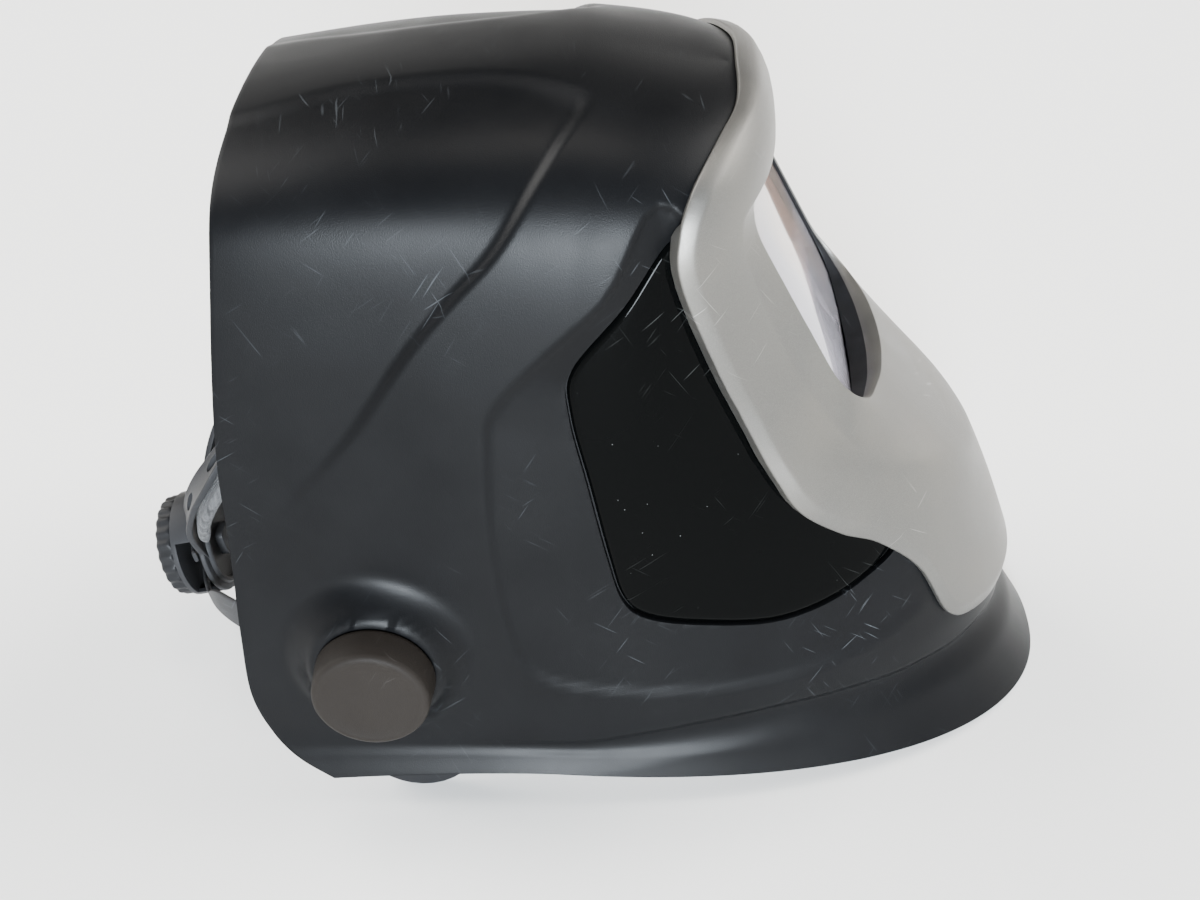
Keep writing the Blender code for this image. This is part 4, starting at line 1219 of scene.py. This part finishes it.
def make_dial():
    cover = refined("dial_cover", "grey_nylon", 0.7, 3)
    cover.name = "dial_cover_fine"
    r = DIAL_RADIUS - 1.0

    def ridges(turn, radius, z):
        grip = float(smooth((radius - r + 3.5) / 2.0)) * float(smooth((z - 6.4) / 1.0))
        return -0.9 * grip * (0.5 + 0.5 * math.cos(24 * turn))

    knob = turned("ratchet_knob_fine", (
        (2.0, -2.6), (2.0, 6.0), (r - 1.4, 6.0), (r - 0.5, 6.2), (r, 6.9), (r, 8.0), (r, 11.0),
        (r - 0.4, 12.0), (r - 1.4, 12.75), (r - 3.0, 13.0), (r - 5.4, 13.0), (r - 6.0, 12.6),
        (r - 6.6, 12.0), (r - 12.0, 11.8), (2.0, 11.8),
    ), dial_frame(0.0), "black_nylon", 192, ridges)
    settle(knob, "dial", ["ratchet_knob"], 45)
    refined("ratchet_pinion", "black_nylon", 0.1, 1)


make_side_windows()
make_front_cover()
make_window_surround()
make_filter()
make_pivots()
make_band()
make_rear()


# ---------------------------------------------------------------- stage, light and camera


def make_stage():
    floor_mat, shader = new_material("studio_floor", 0.75)
    pale = tint(floor_mat, noise(floor_mat, 1.5, 3.0), (0.86, 0.85, 0.83), (0.90, 0.89, 0.87))
    floor_mat.node_tree.links.new(pale, shader.inputs["Base Color"])
    bm = bmesh.new()
    bmesh.ops.create_circle(bm, cap_ends=True, segments=96, radius=6.0)
    mesh = bpy.data.meshes.new("floor")
    bm.to_mesh(mesh)
    bm.free()
    floor = bpy.data.objects.new("floor", mesh)
    mesh.materials.append(floor_mat)
    bpy.context.scene.collection.objects.link(floor)


def area_light(name, place, target, size, power, colour):
    light = bpy.data.lights.new(name, "AREA")
    light.shape = "DISK"
    light.size = size
    light.energy = power
    light.color = colour
    obj = bpy.data.objects.new(name, light)
    bpy.context.scene.collection.objects.link(obj)
    obj.location = place
    obj.rotation_euler = (Vector(target) - Vector(place)).to_track_quat("-Z", "Y").to_euler()


def wide_light(name, direction, width, strength, colour):
    """A broad soft light from far off, so that the whole floor is lit alike."""
    lamp = bpy.data.lights.new(name, "SUN")
    lamp.energy = strength
    lamp.angle = math.radians(width)
    lamp.color = colour
    obj = bpy.data.objects.new(name, lamp)
    obj.rotation_euler = Vector(direction).to_track_quat("Z", "Y").to_euler()
    bpy.context.scene.collection.objects.link(obj)


def make_light():
    world = bpy.data.worlds.new("studio")
    world.use_nodes = True
    bpy.context.scene.world = world
    tree = world.node_tree
    source = tree.nodes.new("ShaderNodeTexCoord")
    split = tree.nodes.new("ShaderNodeSeparateXYZ")
    ramp = tree.nodes.new("ShaderNodeValToRGB")
    tree.links.new(source.outputs["Generated"], split.inputs[0])
    tree.links.new(split.outputs["Z"], ramp.inputs["Fac"])
    ramp.color_ramp.elements[0].position = 0.10
    ramp.color_ramp.elements[0].color = (2.3, 2.28, 2.22, 1)
    ramp.color_ramp.elements[1].position = 0.42
    ramp.color_ramp.elements[1].color = (0.07, 0.064, 0.058, 1)
    ramp.color_ramp.interpolation = "EASE"
    tree.links.new(ramp.outputs["Color"], tree.nodes["Background"].inputs["Color"])
    tree.nodes["Background"].inputs["Strength"].default_value = 1.0
    wide_light("key", (-1.30, -0.05, 0.30), 20.0, 18.0, (0.84, 0.92, 1.0))
    wide_light("back", (0.35, 1.0, 0.80), 50.0, 5.5, (1.0, 0.98, 0.95))
    wide_light("front", (0.35, -1.0, 0.80), 50.0, 5.5, (1.0, 0.98, 0.95))
    area_light("ceiling", (0.3, 0.0, 2.4), (0.2, 0.0, 0.0), 0.8, 18.0, (1.0, 0.95, 0.88))


def make_camera():
    camera = bpy.data.objects.new("camera", bpy.data.cameras.new("camera"))
    bpy.context.scene.collection.objects.link(camera)
    camera.location = CAMERA_PLACE
    camera.rotation_euler = [math.radians(angle) for angle in CAMERA_TURN]
    camera.data.lens = CAMERA_LENS
    bpy.context.scene.camera = camera


make_stage()
make_light()
make_camera()
